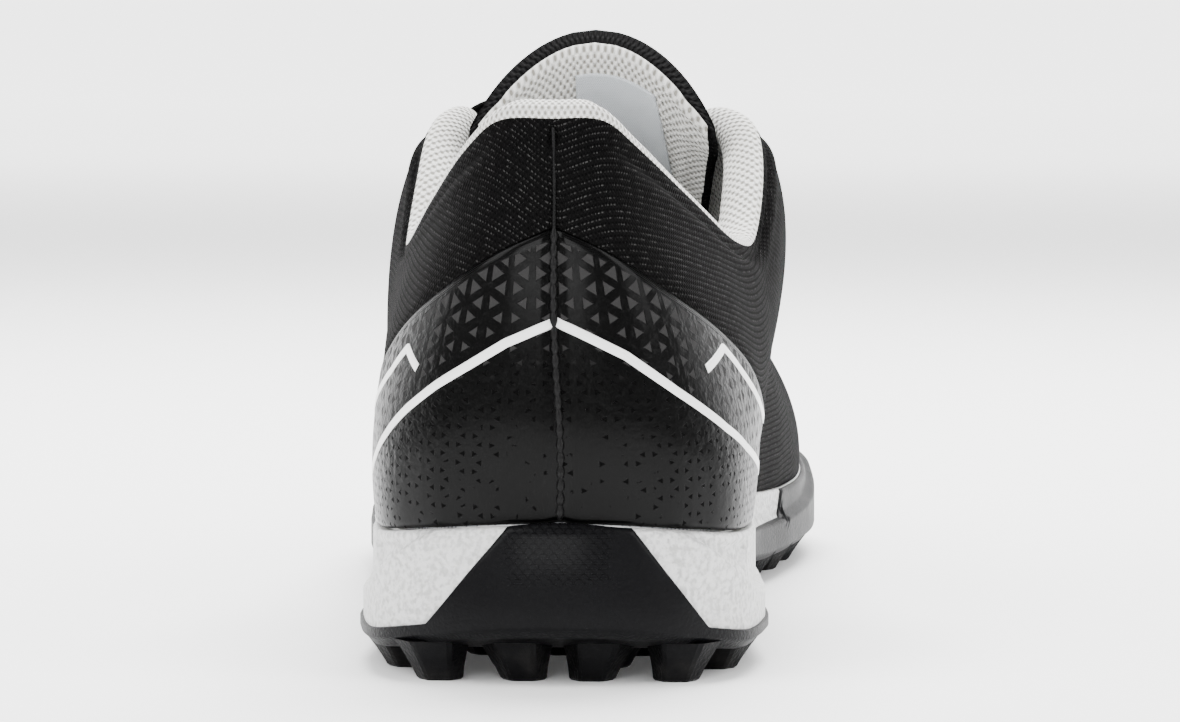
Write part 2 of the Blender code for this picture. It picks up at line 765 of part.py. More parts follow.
def make_heel_counter(shoe):
    """Film counter round the heel, from the sole up to its edge, over the cut-back wall.

    It has the columns and the rows of the upper, so that the two faceted faces run parallel.
    """
    pitch = 1 / COLUMNS_PER_SIDE
    reach = int(COUNTER_END / pitch)
    at = np.arange(-reach, reach + 1) * pitch
    tall = (top_line(at) - foot_line(at))[..., 2]
    edge = overlay_edge(at)
    levels = np.stack([edge * part for part in COUNTER_ROWS])
    levels[-1] -= 0.4 * STEP_RUN / 2 + 1.3 * GAP / tall
    grid = np.broadcast_to(at, levels.shape)
    outer = last(grid, levels)
    inner = outer - last_normal(grid, levels) * OVERLAY_THICKNESS
    inner[0, :, 2] = outer[0, :, 2]
    return sheet_solid("heel_counter", outer, inner, COLOURS["heel_counter"], shoe)


def tongue_middle():
    """x of the tongue's middle, at the end of the throat."""
    return TONGUE_MIDDLE * HEEL_WIDTH


def tongue_sections(part, across):
    """Points of the tongue's outer face, and the unit direction into the shoe, by length and across."""
    rows = np.asarray(TONGUE, float)
    knots = np.linspace(0, 1, len(rows))
    place = [rows[:, 0] * SOLE_LENGTH, rows[:, 1] * INSTEP_HEIGHT + rows[:, 2] * TONGUE_RISE]
    along = through(knots, place[0], part)
    height = through(knots, place[1], part)
    half = through(knots, rows[:, 3], part) * HEEL_WIDTH
    radius = through(knots, rows[:, 4], part) * HEEL_WIDTH
    thick = through(knots, rows[:, 5], part) * UPPER_WALL
    lean = through(knots, rows[:, 6], part) * HEEL_WIDTH
    fall = through(knots, rows[:, 7], part) * TONGUE_RISE
    turn = across * half / radius
    middle = tongue_middle()
    step = 1e-3
    run_y = through(knots, place[0], part + step) - through(knots, place[0], part - step)
    run_z = through(knots, place[1], part + step) - through(knots, place[1], part - step)
    run = np.stack([run_y, run_z], -1)
    run /= np.linalg.norm(run, axis=-1, keepdims=True)
    into_y, into_z = -run[..., 1], run[..., 0]
    drop = radius * (1 - np.cos(turn))
    back = lean * across**2
    x = middle + radius * np.sin(turn)
    y = along + into_y * drop - back
    z = height + into_z * drop - fall * across**2
    point = np.stack([x, y, z], -1)
    inward = np.stack([-np.sin(turn), into_y * np.cos(turn), into_z * np.cos(turn)], -1)
    return point, inward, thick


def make_tongue(shoe):
    """Padded tongue: an arched sheet under the throat that stands free above the eyestay."""
    part, across = np.meshgrid(np.linspace(0, 1, 13), np.linspace(-1, 1, 13), indexing="ij")
    outer, inward, thick = tongue_sections(part, across)
    swell = 1 - 0.62 * np.abs(across) ** 3
    inner = outer + inward * (thick * swell)[..., None]
    return sheet_solid("tongue", outer, inner, COLOURS["tongue"], shoe)


def on_tongue(along, across_x):
    """The tongue's length and width parameters at a distance along the shoe and a place across it."""
    rows = np.asarray(TONGUE, float)
    knots = np.linspace(0, 1, len(rows))
    part = np.interp(-along / SOLE_LENGTH, -rows[:, 0], knots)
    half = through(knots, rows[:, 3], part) * HEEL_WIDTH
    radius = through(knots, rows[:, 4], part) * HEEL_WIDTH
    return part, np.arcsin(np.clip((across_x - tongue_middle()) / radius, -0.95, 0.95)) * radius / half


def strap(start, end, hover):
    """Corners of a flat lace bar on the tongue, between two places given in the tongue's own parameters."""
    share = np.linspace(0, 1, 6)
    part = start[0] + (end[0] - start[0]) * share
    across = start[1] + (end[1] - start[1]) * share
    path, inward, _ = tongue_sections(part, across)
    run = np.gradient(path, axis=0)
    side = np.cross(run, inward)
    side /= np.linalg.norm(side, axis=1, keepdims=True)
    path = path - inward * (LACE_THICKNESS / 2 + hover)
    half = side * LACE_WIDTH / 2
    deep = inward * LACE_THICKNESS / 2
    return np.stack([path + half + deep, path + half - deep, path - half - deep, path - half + deep], 1)


def make_lace(shoe, helpers):
    """Criss-cross lace as one joined net of bars on the tongue, between the edges of the throat."""
    rails = {}
    for side in (1, -1):
        at = eyelet_stations() * side
        edge = top_line(at) - last_normal(at, 1.0) * wall_thickness(at, 1.0)[:, None]
        reach = np.abs(edge[:, 0] - tongue_middle()) - LACE_EDGE_MARGIN
        rails[side] = np.stack(on_tongue(top_line(at)[:, 1], tongue_middle() + side * reach), -1)
    bars = []
    for row in range(EYELET_PAIRS - 1):
        bars.append(strap(rails[1][row], rails[-1][row + 1], LACE_HOVER))
        bars.append(strap(rails[-1][row], rails[1][row + 1], LACE_HOVER + 0.55 * LACE_THICKNESS))
    bars.append(strap(rails[1][-1], rails[-1][-1], LACE_HOVER + 0.25 * LACE_THICKNESS))
    lace = None
    for number, ring in enumerate(bars):
        steps, count = ring.shape[:2]
        faces = ring_faces(steps, count, True, False)
        faces += [tuple(range(count)), tuple((steps - 1) * count + k for k in range(count))]
        if lace is None:
            lace = make_object("lace", ring.reshape(-1, 3), faces, COLOURS["lace"], shoe)
        else:
            bar = make_object(f"lace_bar_{number}", ring.reshape(-1, 3), faces, None, helpers)
            hide_cutter(bar)
            boolean(lace, bar, "UNION")
    return lace


def centre_on_ground(pieces, helpers):
    """Parents every piece and cutter to an empty that puts the world's origin on the ground under the middle."""
    bpy.context.view_layer.update()
    graph = bpy.context.evaluated_depsgraph_get()
    corners = []
    for piece in pieces:
        seen = piece.evaluated_get(graph)
        corners += [tuple(corner) for corner in seen.bound_box]
    corners = np.array(corners)
    middle = (corners.min(0) + corners.max(0)) / 2
    carrier = bpy.data.objects.new("turf_shoe", None)
    bpy.context.scene.collection.objects.link(carrier)
    carrier.location = (-middle[0], -middle[1], -corners.min(0)[2])
    for piece in pieces + list(helpers.objects):
        piece.parent = carrier


def main():
    for obj in list(bpy.data.objects):
        bpy.data.objects.remove(obj)
    shoe = bpy.data.collections.new("turf_shoe")
    helpers = bpy.data.collections.new("cutters")
    bpy.context.scene.collection.children.link(shoe)
    bpy.context.scene.collection.children.link(helpers)
    pieces = [
        make_outsole(shoe, helpers),
        make_midsole(shoe, helpers),
        make_insole(shoe),
        make_upper(shoe, helpers),
        make_heel_counter(shoe),
        make_tongue(shoe),
        make_lace(shoe, helpers),
    ]
    centre_on_ground(pieces, helpers)


main()
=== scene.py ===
# %% [markdown]
# # A turf shoe for the left foot
# A turf shoe is a low football shoe with many short lugs. It is put together from a lasted textile upper, a
# foam midsole and a rubber outsole. The CAD frame holds the solids. This lesson dresses them: each solid is
# drawn again as a fine surface on the same last, and gets its weave, mesh, film, foam or rubber.

import math

import bmesh
import bpy
import numpy as np
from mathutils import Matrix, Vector


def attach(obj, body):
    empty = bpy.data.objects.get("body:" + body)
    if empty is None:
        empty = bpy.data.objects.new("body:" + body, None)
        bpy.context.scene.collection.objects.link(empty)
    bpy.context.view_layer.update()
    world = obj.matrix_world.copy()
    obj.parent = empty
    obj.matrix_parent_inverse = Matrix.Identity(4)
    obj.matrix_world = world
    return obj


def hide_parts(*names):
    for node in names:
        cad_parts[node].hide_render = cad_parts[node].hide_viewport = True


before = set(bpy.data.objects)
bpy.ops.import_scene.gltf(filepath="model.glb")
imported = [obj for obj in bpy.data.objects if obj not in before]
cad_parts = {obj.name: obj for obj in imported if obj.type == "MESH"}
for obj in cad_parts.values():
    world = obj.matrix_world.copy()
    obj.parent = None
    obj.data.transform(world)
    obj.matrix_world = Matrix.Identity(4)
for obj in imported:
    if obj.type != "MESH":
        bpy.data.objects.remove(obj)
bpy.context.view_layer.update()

# %% [markdown]
# ## The camera
# The photo looks at the pair from straight behind, through a long lens. The camera stands 0.85 m behind the
# heel and 51.5 mm to the inner side of this shoe, because the photo's middle is between the two shoes. It is
# turned to the shoe, so that the one shoe fills the frame at the photo's own angle.

# %% Camera and the shift from the last's frame to the CAD frame
LAST_TO_FRAME = np.array([0.004147, -0.145054, 0.0])
CAMERA_PLACE = np.array([0.0515, -0.850, 0.118]) + LAST_TO_FRAME
PHOTO_FOCAL_PX = 4982
PHOTO_WIDTH_PX = 1180
SENSOR_MM = 36.0
YAW = math.radians(3.08)
PITCH = math.radians(4.12)

camera = bpy.data.objects.new("camera", bpy.data.cameras.new("camera"))
bpy.context.scene.collection.objects.link(camera)
bpy.context.scene.camera = camera
camera.data.lens = PHOTO_FOCAL_PX / PHOTO_WIDTH_PX * SENSOR_MM
camera.data.sensor_width = SENSOR_MM
camera.data.clip_end = 50
camera.location = CAMERA_PLACE
camera.rotation_euler = (math.pi / 2 - PITCH, 0, YAW)
print("lens in mm:", round(camera.data.lens, 1))

# %% [markdown]
# ## The last
# A last is the form a shoe is pulled over. Here it is a function: a station round the shoe and a share of the
# way up the wall give a point. The tables hold shares of the shoe's own sizes, the same as in the CAD source,
# so the fine surfaces lie where the solids are. A station is 0 at the heel and 1 at the toe, positive on the
# inner side and negative on the outer side.

# %% Sizes of the last and the sole, in metres
SOLE_LENGTH = 0.290
BALL_WIDTH = 0.091
HEEL_WIDTH = 0.072
HEEL_STACK = 0.0235
FOREFOOT_STACK = 0.0165
TOE_SPRING = 0.010
HEEL_BEVEL = 0.004
ARCH_RISE = 0.0015
LUG_HEIGHT = 0.0045
PLATE_THICKNESS = 0.0022
CUP_LIP = 0.0010
HEEL_RIM_RISE = 0.0035
RIM_RISE = 0.0008
BACK_HEIGHT = 0.0980
INSTEP_HEIGHT = 0.0985
UPPER_WALL = 0.0022
UPPER_INSET = 0.0007
GAP = 0.0003

# %% Tables of the last, as shares of those sizes
# station, along, medial, lateral
OUTLINE = (
    (0.000, 0.000, 0.004, 0.004),
    (0.053, 0.012, 0.244, -0.249),
    (0.101, 0.048, 0.406, -0.421),
    (0.177, 0.131, 0.485, -0.515),
    (0.259, 0.224, 0.456, -0.515),
    (0.351, 0.328, 0.387, -0.495),
    (0.428, 0.414, 0.344, -0.490),
    (0.520, 0.517, 0.357, -0.508),
    (0.613, 0.621, 0.415, -0.538),
    (0.675, 0.690, 0.448, -0.551),
    (0.767, 0.793, 0.453, -0.519),
    (0.842, 0.876, 0.401, -0.432),
    (0.907, 0.941, 0.296, -0.302),
    (0.961, 0.984, 0.159, -0.138),
    (1.000, 1.000, 0.028, 0.028),
)
# station, rim_in, ledge
SIDE = (
    (0.000, 0.040, 1.30),
    (0.053, 0.036, 1.12),
    (0.080, 0.030, 0.93),
    (0.120, 0.026, 0.62),
    (0.160, 0.025, 0.44),
    (0.259, 0.025, 0.42),
    (0.428, 0.025, 0.46),
    (0.613, 0.025, 0.50),
    (0.767, 0.028, 0.80),
    (0.842, 0.030, 1.15),
    (1.000, 0.034, 1.30),
)
# station, medial, lateral
WRAP = (
    (0.000, 0.08, 0.08),
    (0.259, 0.08, 0.08),
    (0.351, 0.12, 0.12),
    (0.428, 0.24, 0.22),
    (0.520, 0.42, 0.36),
    (0.613, 0.50, 0.44),
    (1.000, 0.50, 0.50),
)
# station, along, medial, lateral, back, instep
TOPLINE = (
    (0.000, 0.0210, -0.015, -0.015, 1.000, 0.000),
    (0.053, 0.0260, 0.108, -0.146, 0.997, 0.000),
    (0.101, 0.0534, 0.180, -0.226, 0.949, 0.000),
    (0.177, 0.1310, 0.303, -0.340, 0.846, 0.000),
    (0.259, 0.2310, 0.417, -0.438, 0.750, 0.000),
    (0.305, 0.2828, 0.449, -0.460, 0.540, 0.212),
    (0.351, 0.3310, 0.466, -0.450, 0.340, 0.520),
    (0.395, 0.3724, 0.444, -0.430, 0.120, 0.835),
    (0.430, 0.4000, 0.368, -0.380, 0.000, 0.985),
    (0.465, 0.4224, 0.285, -0.320, 0.000, 0.980),
    (0.520, 0.4759, 0.222, -0.264, 0.000, 0.905),
    (0.613, 0.5621, 0.174, -0.201, 0.000, 0.785),
    (0.675, 0.6172, 0.139, -0.160, 0.000, 0.710),
    (0.767, 0.6534, 0.083, -0.100, 0.000, 0.660),
    (0.842, 0.6628, 0.049, -0.063, 0.000, 0.648),
    (0.907, 0.6655, 0.025, -0.039, 0.000, 0.644),
    (0.961, 0.6662, 0.006, -0.020, 0.000, 0.642),
    (1.000, 0.6666, -0.007, -0.007, 0.000, 0.642),
)
# station, low_medial, low_lateral, low_up, top_medial, top_lateral, top_along, top_up
FULLNESS = (
    (0.000, 0.097, 0.097, 0.32, -0.042, -0.042, 0.00, -0.29),
    (0.053, 0.090, 0.090, 0.32, -0.021, -0.021, 0.00, -0.29),
    (0.101, 0.070, 0.070, 0.34, 0.030, 0.021, 0.00, -0.28),
    (0.177, 0.048, 0.045, 0.38, 0.090, 0.069, 0.00, -0.28),
    (0.259, 0.060, 0.045, 0.34, 0.090, 0.060, 0.00, -0.28),
    (0.351, 0.090, 0.045, 0.30, 0.100, 0.090, 0.00, -0.24),
    (0.395, 0.105, 0.042, 0.31, 0.160, 0.150, 0.00, -0.21),
    (0.430, 0.125, 0.035, 0.32, 0.280, 0.220, 0.00, -0.18),
    (0.465, 0.125, 0.042, 0.32, 0.250, 0.190, 0.10, -0.13),
    (0.520, 0.090, 0.042, 0.38, 0.120, 0.090, 0.33, -0.09),
    (0.613, 0.056, 0.035, 0.42, 0.028, 0.028, 0.48, -0.08),
    (0.675, 0.021, 0.021, 0.42, 0.000, 0.000, 0.52, -0.08),
    (0.767, 0.021, 0.021, 0.45, 0.000, 0.000, 0.50, -0.08),
    (0.842, 0.021, 0.021, 0.50, 0.000, 0.000, 0.48, -0.10),
    (1.000, 0.021, 0.021, 0.50, 0.000, 0.000, 0.48, -0.10),
)
# station, padding, counter edge
WALL = (
    (0.000, 3.0, 0.720),
    (0.053, 3.1, 0.650),
    (0.101, 3.3, 0.590),
    (0.177, 3.8, 0.500),
    (0.259, 4.2, 0.385),
    (0.305, 4.2, 0.300),
    (0.351, 4.1, 0.190),
    (0.395, 3.6, 0.100),
    (0.430, 2.8, 0.110),
    (0.465, 1.8, 0.160),
    (0.520, 1.3, 0.230),
    (0.675, 1.2, 0.280),
    (0.842, 1.2, 0.280),
    (1.000, 1.2, 0.280),
)
# along, instep, rise, half, radius, thick, lean, fall
TONGUE = (
    (0.7000, 0.548, 0.000, 0.260, 0.46, 0.9, 0.00, 0.00),
    (0.6400, 0.625, 0.000, 0.280, 0.42, 1.1, 0.02, 0.00),
    (0.5800, 0.717, 0.000, 0.300, 0.40, 1.4, 0.04, 0.00),
    (0.5200, 0.819, 0.000, 0.325, 0.39, 1.8, 0.06, 0.00),
    (0.4700, 0.905, 0.040, 0.355, 0.40, 2.3, 0.07, 0.08),
    (0.4350, 0.960, 0.220, 0.378, 0.42, 2.8, 0.07, 0.23),
    (0.4130, 0.990, 0.520, 0.392, 0.44, 3.1, 0.06, 0.62),
    (0.4020, 1.000, 0.825, 0.388, 0.44, 3.0, 0.05, 0.93),
    (0.3980, 1.000, 1.000, 0.370, 0.44, 2.0, 0.04, 1.01),
)
print("tables:", len(OUTLINE), "outline rows,", len(TOPLINE), "top line rows")

# %% [markdown]
# A table becomes a smooth curve with a cubic between its rows. Round the shoe the curve has to be smooth
# across the heel and the toe too, so the rows are mirrored past both ends before the curve is drawn.


# %% Curves through the tables
def through(knots, values, at):
    """Cubic between rows: value and slope match at each row, the slope being that of the neighbouring rows."""
    knots, values, at = (np.asarray(a, float) for a in (knots, values, at))
    slopes = np.gradient(values, knots)
    low = np.clip(np.searchsorted(knots, at, side="right") - 1, 0, len(knots) - 2)
    span = knots[low + 1] - knots[low]
    share = (at - knots[low]) / span
    rise = share * share * (3 - 2 * share)
    start = slopes[low] * span * share * (1 - share) ** 2
    end = slopes[low + 1] * span * share * share * (share - 1)
    return values[low] * (1 - rise) + values[low + 1] * rise + start + end


def around(table, medial, lateral, station):
    """A table's value at signed stations, from the medial column where positive, else from the lateral one."""
    rows = np.asarray(table, float)
    knots = np.concatenate([-rows[:0:-1, 0], rows[:, 0]])
    values = np.concatenate([rows[:0:-1, lateral], rows[:, medial]])
    knots = np.concatenate([knots[-4:-1] - 2, knots, knots[1:4] + 2])
    values = np.concatenate([values[-4:-1], values, values[1:4]])
    return through(knots, values, station)


def ease(share):
    """3s^2 - 2s^3 between 0 and 1, and flat outside."""
    share = np.clip(share, 0, 1)
    return share * share * (3 - 2 * share)


# %% [markdown]
# The sole is described from its outline: how wide it is at each place along it, how high the plate, the foam
# and the rim stand, and how far the foam's side steps in above its ledge.


# %% The sole as functions
def local_width(along):
    """Heel width, blending to the ball width through the waist."""
    return HEEL_WIDTH + (BALL_WIDTH - HEEL_WIDTH) * ease((along - 0.15) / 0.47)


def outline(station):
    """x and y of the sole's widest line: table shares times the local width and the length."""
    along = around(OUTLINE, 1, 1, station)
    return around(OUTLINE, 2, 3, station) * local_width(along), along * SOLE_LENGTH


def outward(station):
    """Horizontal unit normal of the outline: its tangent turned by a quarter."""
    run = np.stack(outline(station + 1e-3), -1) - np.stack(outline(station - 1e-3), -1)
    run /= np.linalg.norm(run, axis=-1, keepdims=True)
    return np.stack([run[..., 1], -run[..., 0]], -1)


def spring(along):
    """Lift of the toe: a power curve over the front three tenths."""
    return TOE_SPRING * np.clip((along - 0.70) / 0.30, 0, 1) ** 1.7


def root_height(along):
    """Height of the sole's underside: lugs, plus toe spring, heel bevel and arch."""
    bevel = HEEL_BEVEL * np.clip((0.075 - along) / 0.075, 0, 1) ** 1.5
    arch = ARCH_RISE * ease((along - 0.25) / 0.1) * ease((0.56 - along) / 0.1)
    return LUG_HEIGHT + spring(along) + bevel + arch


def floor_height(along):
    """Height of the foam inside the shoe, falling from heel to forefoot."""
    heel = ease((0.65 - along) / 0.40)
    return FOREFOOT_STACK + (HEEL_STACK - FOREFOOT_STACK) * heel + spring(along)


def arc_from_heel(station):
    """Rough distance along the outline from the middle of the heel."""
    return np.abs(station) * 1.13 * SOLE_LENGTH


def rim_height(station):
    """Height of the foam's rim, raised behind the heel and a little at the toe."""
    along = around(OUTLINE, 1, 1, station)
    back = HEEL_RIM_RISE * (1 - ease(arc_from_heel(station) / (0.8 * HEEL_WIDTH)))
    return floor_height(along) + RIM_RISE + back + RIM_RISE * ease((np.abs(station) - 0.8) / 0.2)


def plate_top(station):
    """Height of the rubber plate under the foam."""
    return root_height(around(OUTLINE, 1, 1, station)) + PLATE_THICKNESS


def side_inset(station, height, ledge_blend=0.0008):
    """How far the side sits in: the rim's inset, reached in a step at the ledge, or leaning behind the heel."""
    low = plate_top(station)
    tall = rim_height(station) - low
    share = np.clip((height - low) / tall, 0, 1)
    ledge = around(SIDE, 2, 2, station)
    step = ease((share - ledge) / (2 * ledge_blend / tall) + 0.5)
    stepped = ease((1.1 - ledge) / 0.2)
    return around(SIDE, 1, 1, station) * HEEL_WIDTH * (step * stepped + share * share * (1 - stepped))


def sole_point(station, inset, height):
    """Outline moved in by the inset, at a height."""
    x, y = outline(station)
    out = outward(station)
    return np.stack([x - out[..., 0] * inset, y - out[..., 1] * inset, np.broadcast_to(height, x.shape)], -1)


# %% [markdown]
# The upper's wall is a Bezier curve in space at every station: it leaves the sole's rim, swells, and leans in
# to the collar, or runs back over the foot to the throat.


# %% The upper as functions
def foot_line(station):
    """Lower edge of the upper, on the rim of the foam."""
    inset = side_inset(station, rim_height(station)) + UPPER_INSET
    return sole_point(station, inset, rim_height(station) + GAP)


def top_line(station):
    """Upper edge of the upper: collar, ears of the eyestay and throat."""
    x = around(TOPLINE, 2, 3, station) * HEEL_WIDTH
    y = around(TOPLINE, 1, 1, station) * SOLE_LENGTH
    z = around(TOPLINE, 4, 4, station) * BACK_HEIGHT + around(TOPLINE, 5, 5, station) * INSTEP_HEIGHT
    return np.stack([x, y, z], -1)


def wall(station, share):
    """Cubic Bezier from the foot line to the top line, with handles from the fullness table."""
    station, share = np.broadcast_arrays(np.asarray(station, float), np.asarray(share, float))
    low, top, out = foot_line(station), top_line(station), outward(station)
    out = np.concatenate([out, np.zeros(out.shape[:-1] + (1,))], -1)
    up = np.array([0.0, 0.0, 1.0])
    tall = (top - low)[..., 2:]
    pick = [around(FULLNESS, m, n, station)[..., None] for m, n in ((1, 2), (3, 3), (4, 5), (6, 6), (7, 7))]
    first = low + out * pick[0] * HEEL_WIDTH + up * pick[1] * tall
    back = pick[3] * (low - top) * np.array([1.0, 1.0, 0.0])
    second = top + out * pick[2] * HEEL_WIDTH + back + up * pick[4] * tall
    s = share[..., None]
    r = 1 - s
    return low * r**3 + first * 3 * s * r**2 + second * 3 * s**2 * r + top * s**3


SMOOTHING = ((-0.014, 1), (-0.007, 2), (0.0, 3), (0.007, 2), (0.014, 1))


def last(station, share):
    """Weighted mean of the wall at five neighbouring stations, which smooths the bends at the tables' rows."""
    station = np.asarray(station, float)
    weights = sum(weight for _, weight in SMOOTHING)
    return sum(weight * wall(station + step, share) for step, weight in SMOOTHING) / weights


def last_normal(station, share):
    """Unit cross product of the steps along the shoe and up the wall."""
    share = np.asarray(share, float)
    above, below = np.minimum(share + 2e-3, 1), np.maximum(share - 2e-3, 0)
    along = last(station + 2e-3, share) - last(station - 2e-3, share)
    normal = np.cross(along, last(station, above) - last(station, below))
    return normal / np.linalg.norm(normal, axis=-1, keepdims=True)


def counter_edge(station):
    """Share of the wall at which the heel film ends: both sides meet in a peak at the back seam."""
    rows = np.asarray(WALL, float)
    return through(rows[:, 0], rows[:, 2], np.abs((station + 1) % 2 - 1))


def share_at_height(station, height):
    """Share at which the wall reaches a height, by halving the interval again and again."""
    low, high = np.zeros_like(station), np.ones_like(station)
    for _ in range(24):
        middle = (low + high) / 2
        under = last(station, middle)[..., 2] < height
        low, high = np.where(under, middle, low), np.where(under, high, middle)
    return (low + high) / 2


RING = np.linspace(-1, 1, 4001)
RING_POINTS = last(RING, 0.45 + 0 * RING)
RING_ARC = np.concatenate([[0], np.cumsum(np.linalg.norm(np.diff(RING_POINTS, axis=0), axis=1))])
RING_ARC -= np.interp(0.0, RING, RING_ARC)


def arc(station):
    """Distance round the shoe from the back seam, measured half way up the wall, in metres."""
    return np.interp(station, RING, RING_ARC)


print("distance round the upper in mm:", round((RING_ARC[-1] - RING_ARC[0]) * 1000))

# %% [markdown]
# ## From a grid of points to a mesh
# Every piece is a grid: rows one way, columns the other. One helper joins the grid with quads, closes it round
# where asked, caps its ends, and lays a UV map in millimetres, so that a weave has its true pitch.


# %% Grid to mesh
COLLECTION = bpy.data.collections.new("dressed_shoe")
bpy.context.scene.collection.children.link(COLLECTION)


def grid_quads(rows, columns, ring_columns=False, ring_rows=False):
    """Corner numbers of each quad between point (i, j) and point (i+1, j+1), and their unwrapped rows and columns."""
    i, j = np.meshgrid(
        np.arange(rows if ring_rows else rows - 1), np.arange(columns if ring_columns else columns - 1), indexing="ij"
    )
    i, j = i.ravel(), j.ravel()
    up, right = (i + 1) % rows, (j + 1) % columns
    quads = np.stack([i * columns + j, i * columns + right, up * columns + right, up * columns + j], -1)
    corners = np.stack([np.stack([i, i, i + 1, i + 1], -1), np.stack([j, j + 1, j + 1, j], -1)], -1)
    return quads, corners


def rungs(start, columns):
    """Quads that close a ring of points by joining each one to the point across from it."""
    k = np.arange(1, columns // 2 - 1)
    return np.stack([start + k, start + k + 1, start + columns - k - 1, start + columns - k], -1)


def make_piece(name, points, uv, materials, ring_columns=False, ring_rows=False, caps=(), paint=None, facing=None):
    """One mesh from a grid of points in the last's frame. uv(i, j) is in metres; paint(i, j) picks a material."""
    rows, columns = points.shape[:2]
    quads, corners = grid_quads(rows, columns, ring_columns, ring_rows)
    faces = quads.tolist()
    for cap in caps:
        start = (rows - 1) * columns if cap == "last" else 0
        closing = rungs(start, columns)
        faces += closing.tolist()
        faces.append([start, start + 1, start + columns - 1])
        half = columns // 2
        faces.append([start + half - 1, start + half, start + half + 1][: 3 if columns % 2 == 0 else 2])
    faces = [face for face in faces if len(face) > 2]
    mesh = bpy.data.meshes.new(name)
    mesh.from_pydata((points.reshape(-1, 3) + LAST_TO_FRAME).tolist(), [], faces)
    layer = mesh.uv_layers.new(name="millimetres")
    flat = np.zeros((len(mesh.loops), 2))
    flat[: len(quads) * 4] = uv(corners[..., 0].ravel(), corners[..., 1].ravel()) * 1000
    layer.data.foreach_set("uv", flat.ravel())
    for material in materials:
        mesh.materials.append(material)
    if paint is not None:
        index = np.zeros(len(mesh.polygons), int)
        index[: len(quads)] = paint(corners[:, 0, 0] + 0.5, corners[:, 0, 1] + 0.5)
        mesh.polygons.foreach_set("material_index", index)
    mesh.polygons.foreach_set("use_smooth", np.ones(len(mesh.polygons), bool))
    closed = (ring_columns and ring_rows) or len(caps) == 2
    turn_outwards(mesh, closed, facing)
    piece = bpy.data.objects.new(name, mesh)
    COLLECTION.objects.link(piece)
    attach(piece, "root")
    print(name, "has", len(mesh.polygons), "faces")
    return piece


def turn_outwards(mesh, closed, facing):
    """Recalculates the normals of a closed mesh, or flips an open one whose faces look away from facing."""
    work = bmesh.new()
    work.from_mesh(mesh)
    if closed:
        bmesh.ops.recalc_face_normals(work, faces=work.faces)
    elif facing is not None:
        work.normal_update()
        work.faces.ensure_lookup_table()
        middle = work.faces[len(work.faces) // 2]
        where = np.array(middle.calc_center_median())
        if np.dot(np.array(middle.normal), facing(where)) < 0:
            bmesh.ops.reverse_faces(work, faces=work.faces)
    work.to_mesh(mesh)
    work.free()


def grid_uv(u, v):
    """uv(i, j) that reads two arrays of points' places."""
    return lambda i, j: np.stack([u[i, j], v[i, j]], -1)


# %% [markdown]
# ## Effects as node groups
# Weave, air mesh, grain and the like are used by more than one material, so each is a node group: built once,
# with named inputs and outputs, and placed in each material with its own values. The helpers below only save
# typing: `put` makes a node and wires or sets its inputs, `calc` is one Math node.


# %% Node helpers
def put(tree, kind, inputs=None, **settings):
    """A node with its settings, and each input either linked to a socket or set to a value."""
    node = tree.nodes.new(kind)
    for key, value in settings.items():
        setattr(node, key, value)
    for key, value in (inputs or {}).items():
        if isinstance(value, bpy.types.NodeSocket):
            tree.links.new(value, node.inputs[key])
        else:
            node.inputs[key].default_value = value
    return node


def calc(tree, operation, *values):
    """Output of one Math node."""
    return put(tree, "ShaderNodeMath", dict(enumerate(values)), operation=operation).outputs[0]


def smooth_step(tree, value, low, high):
    """0 below low, 1 above high, and a smooth rise between."""
    inputs = {"Value": value, "From Min": low, "From Max": high}
    return put(tree, "ShaderNodeMapRange", inputs, interpolation_type="SMOOTHSTEP", clamp=True).outputs[0]


def new_group(name, inputs, outputs):
    """A node group with float sockets, or vector ones where the name is Place."""
    tree = bpy.data.node_groups.new(name, "ShaderNodeTree")
    for title, value in inputs.items():
        kind = "NodeSocketVector" if title == "Place" else "NodeSocketFloat"
        socket = tree.interface.new_socket(title, in_out="INPUT", socket_type=kind)
        if value is not None:
            socket.default_value = value
    for title in outputs:
        tree.interface.new_socket(title, in_out="OUTPUT", socket_type="NodeSocketFloat")
    return tree, tree.nodes.new("NodeGroupInput").outputs, tree.nodes.new("NodeGroupOutput").inputs


def use(tree, group, **values):
    """A placed group's outputs. Names of inputs are given with _ for a space."""
    node = tree.nodes.new("ShaderNodeGroup")
    node.node_tree = group
    for key, value in values.items():
        title = key.replace("_", " ")
        if isinstance(value, bpy.types.NodeSocket):
            tree.links.new(value, node.inputs[title])
        else:
            node.inputs[title].default_value = value
    return node.outputs


# %% [markdown]
# The black cloth of the upper is a fine ripstop: small raised cells in rows that run down from the back seam,
# with a short painted glint here and there, a bright dash laid in the colour as a painted highlight. Cells are
# the product of two sines, one along and one across, and the glints are a slower sine kept only on some rows.


# %% Ripstop group
ripstop, given, wanted = new_group("ripstop", {"Place": None, "Pitch": 1.15, "Slant": 0.36}, ["Height", "Painted glint"])
split = put(ripstop, "ShaderNodeSeparateXYZ", {0: given["Place"]})
side_u = calc(ripstop, "ABSOLUTE", split.outputs[0])
lean = calc(ripstop, "MULTIPLY_ADD", split.outputs[0], -0.14, calc(ripstop, "MULTIPLY", side_u, given["Slant"]))
row = calc(ripstop, "SUBTRACT", split.outputs[1], lean)
row_turn = calc(ripstop, "DIVIDE", row, given["Pitch"])
cell_turn = calc(ripstop, "MULTIPLY", calc(ripstop, "DIVIDE", side_u, given["Pitch"]), 1.25)
row_wave = calc(ripstop, "SINE", calc(ripstop, "MULTIPLY", row_turn, 2 * math.pi))
cell_wave = calc(ripstop, "SINE", calc(ripstop, "MULTIPLY", cell_turn, 2 * math.pi))
cells = calc(ripstop, "MULTIPLY_ADD", calc(ripstop, "MULTIPLY", row_wave, cell_wave), 0.35, 0.5)
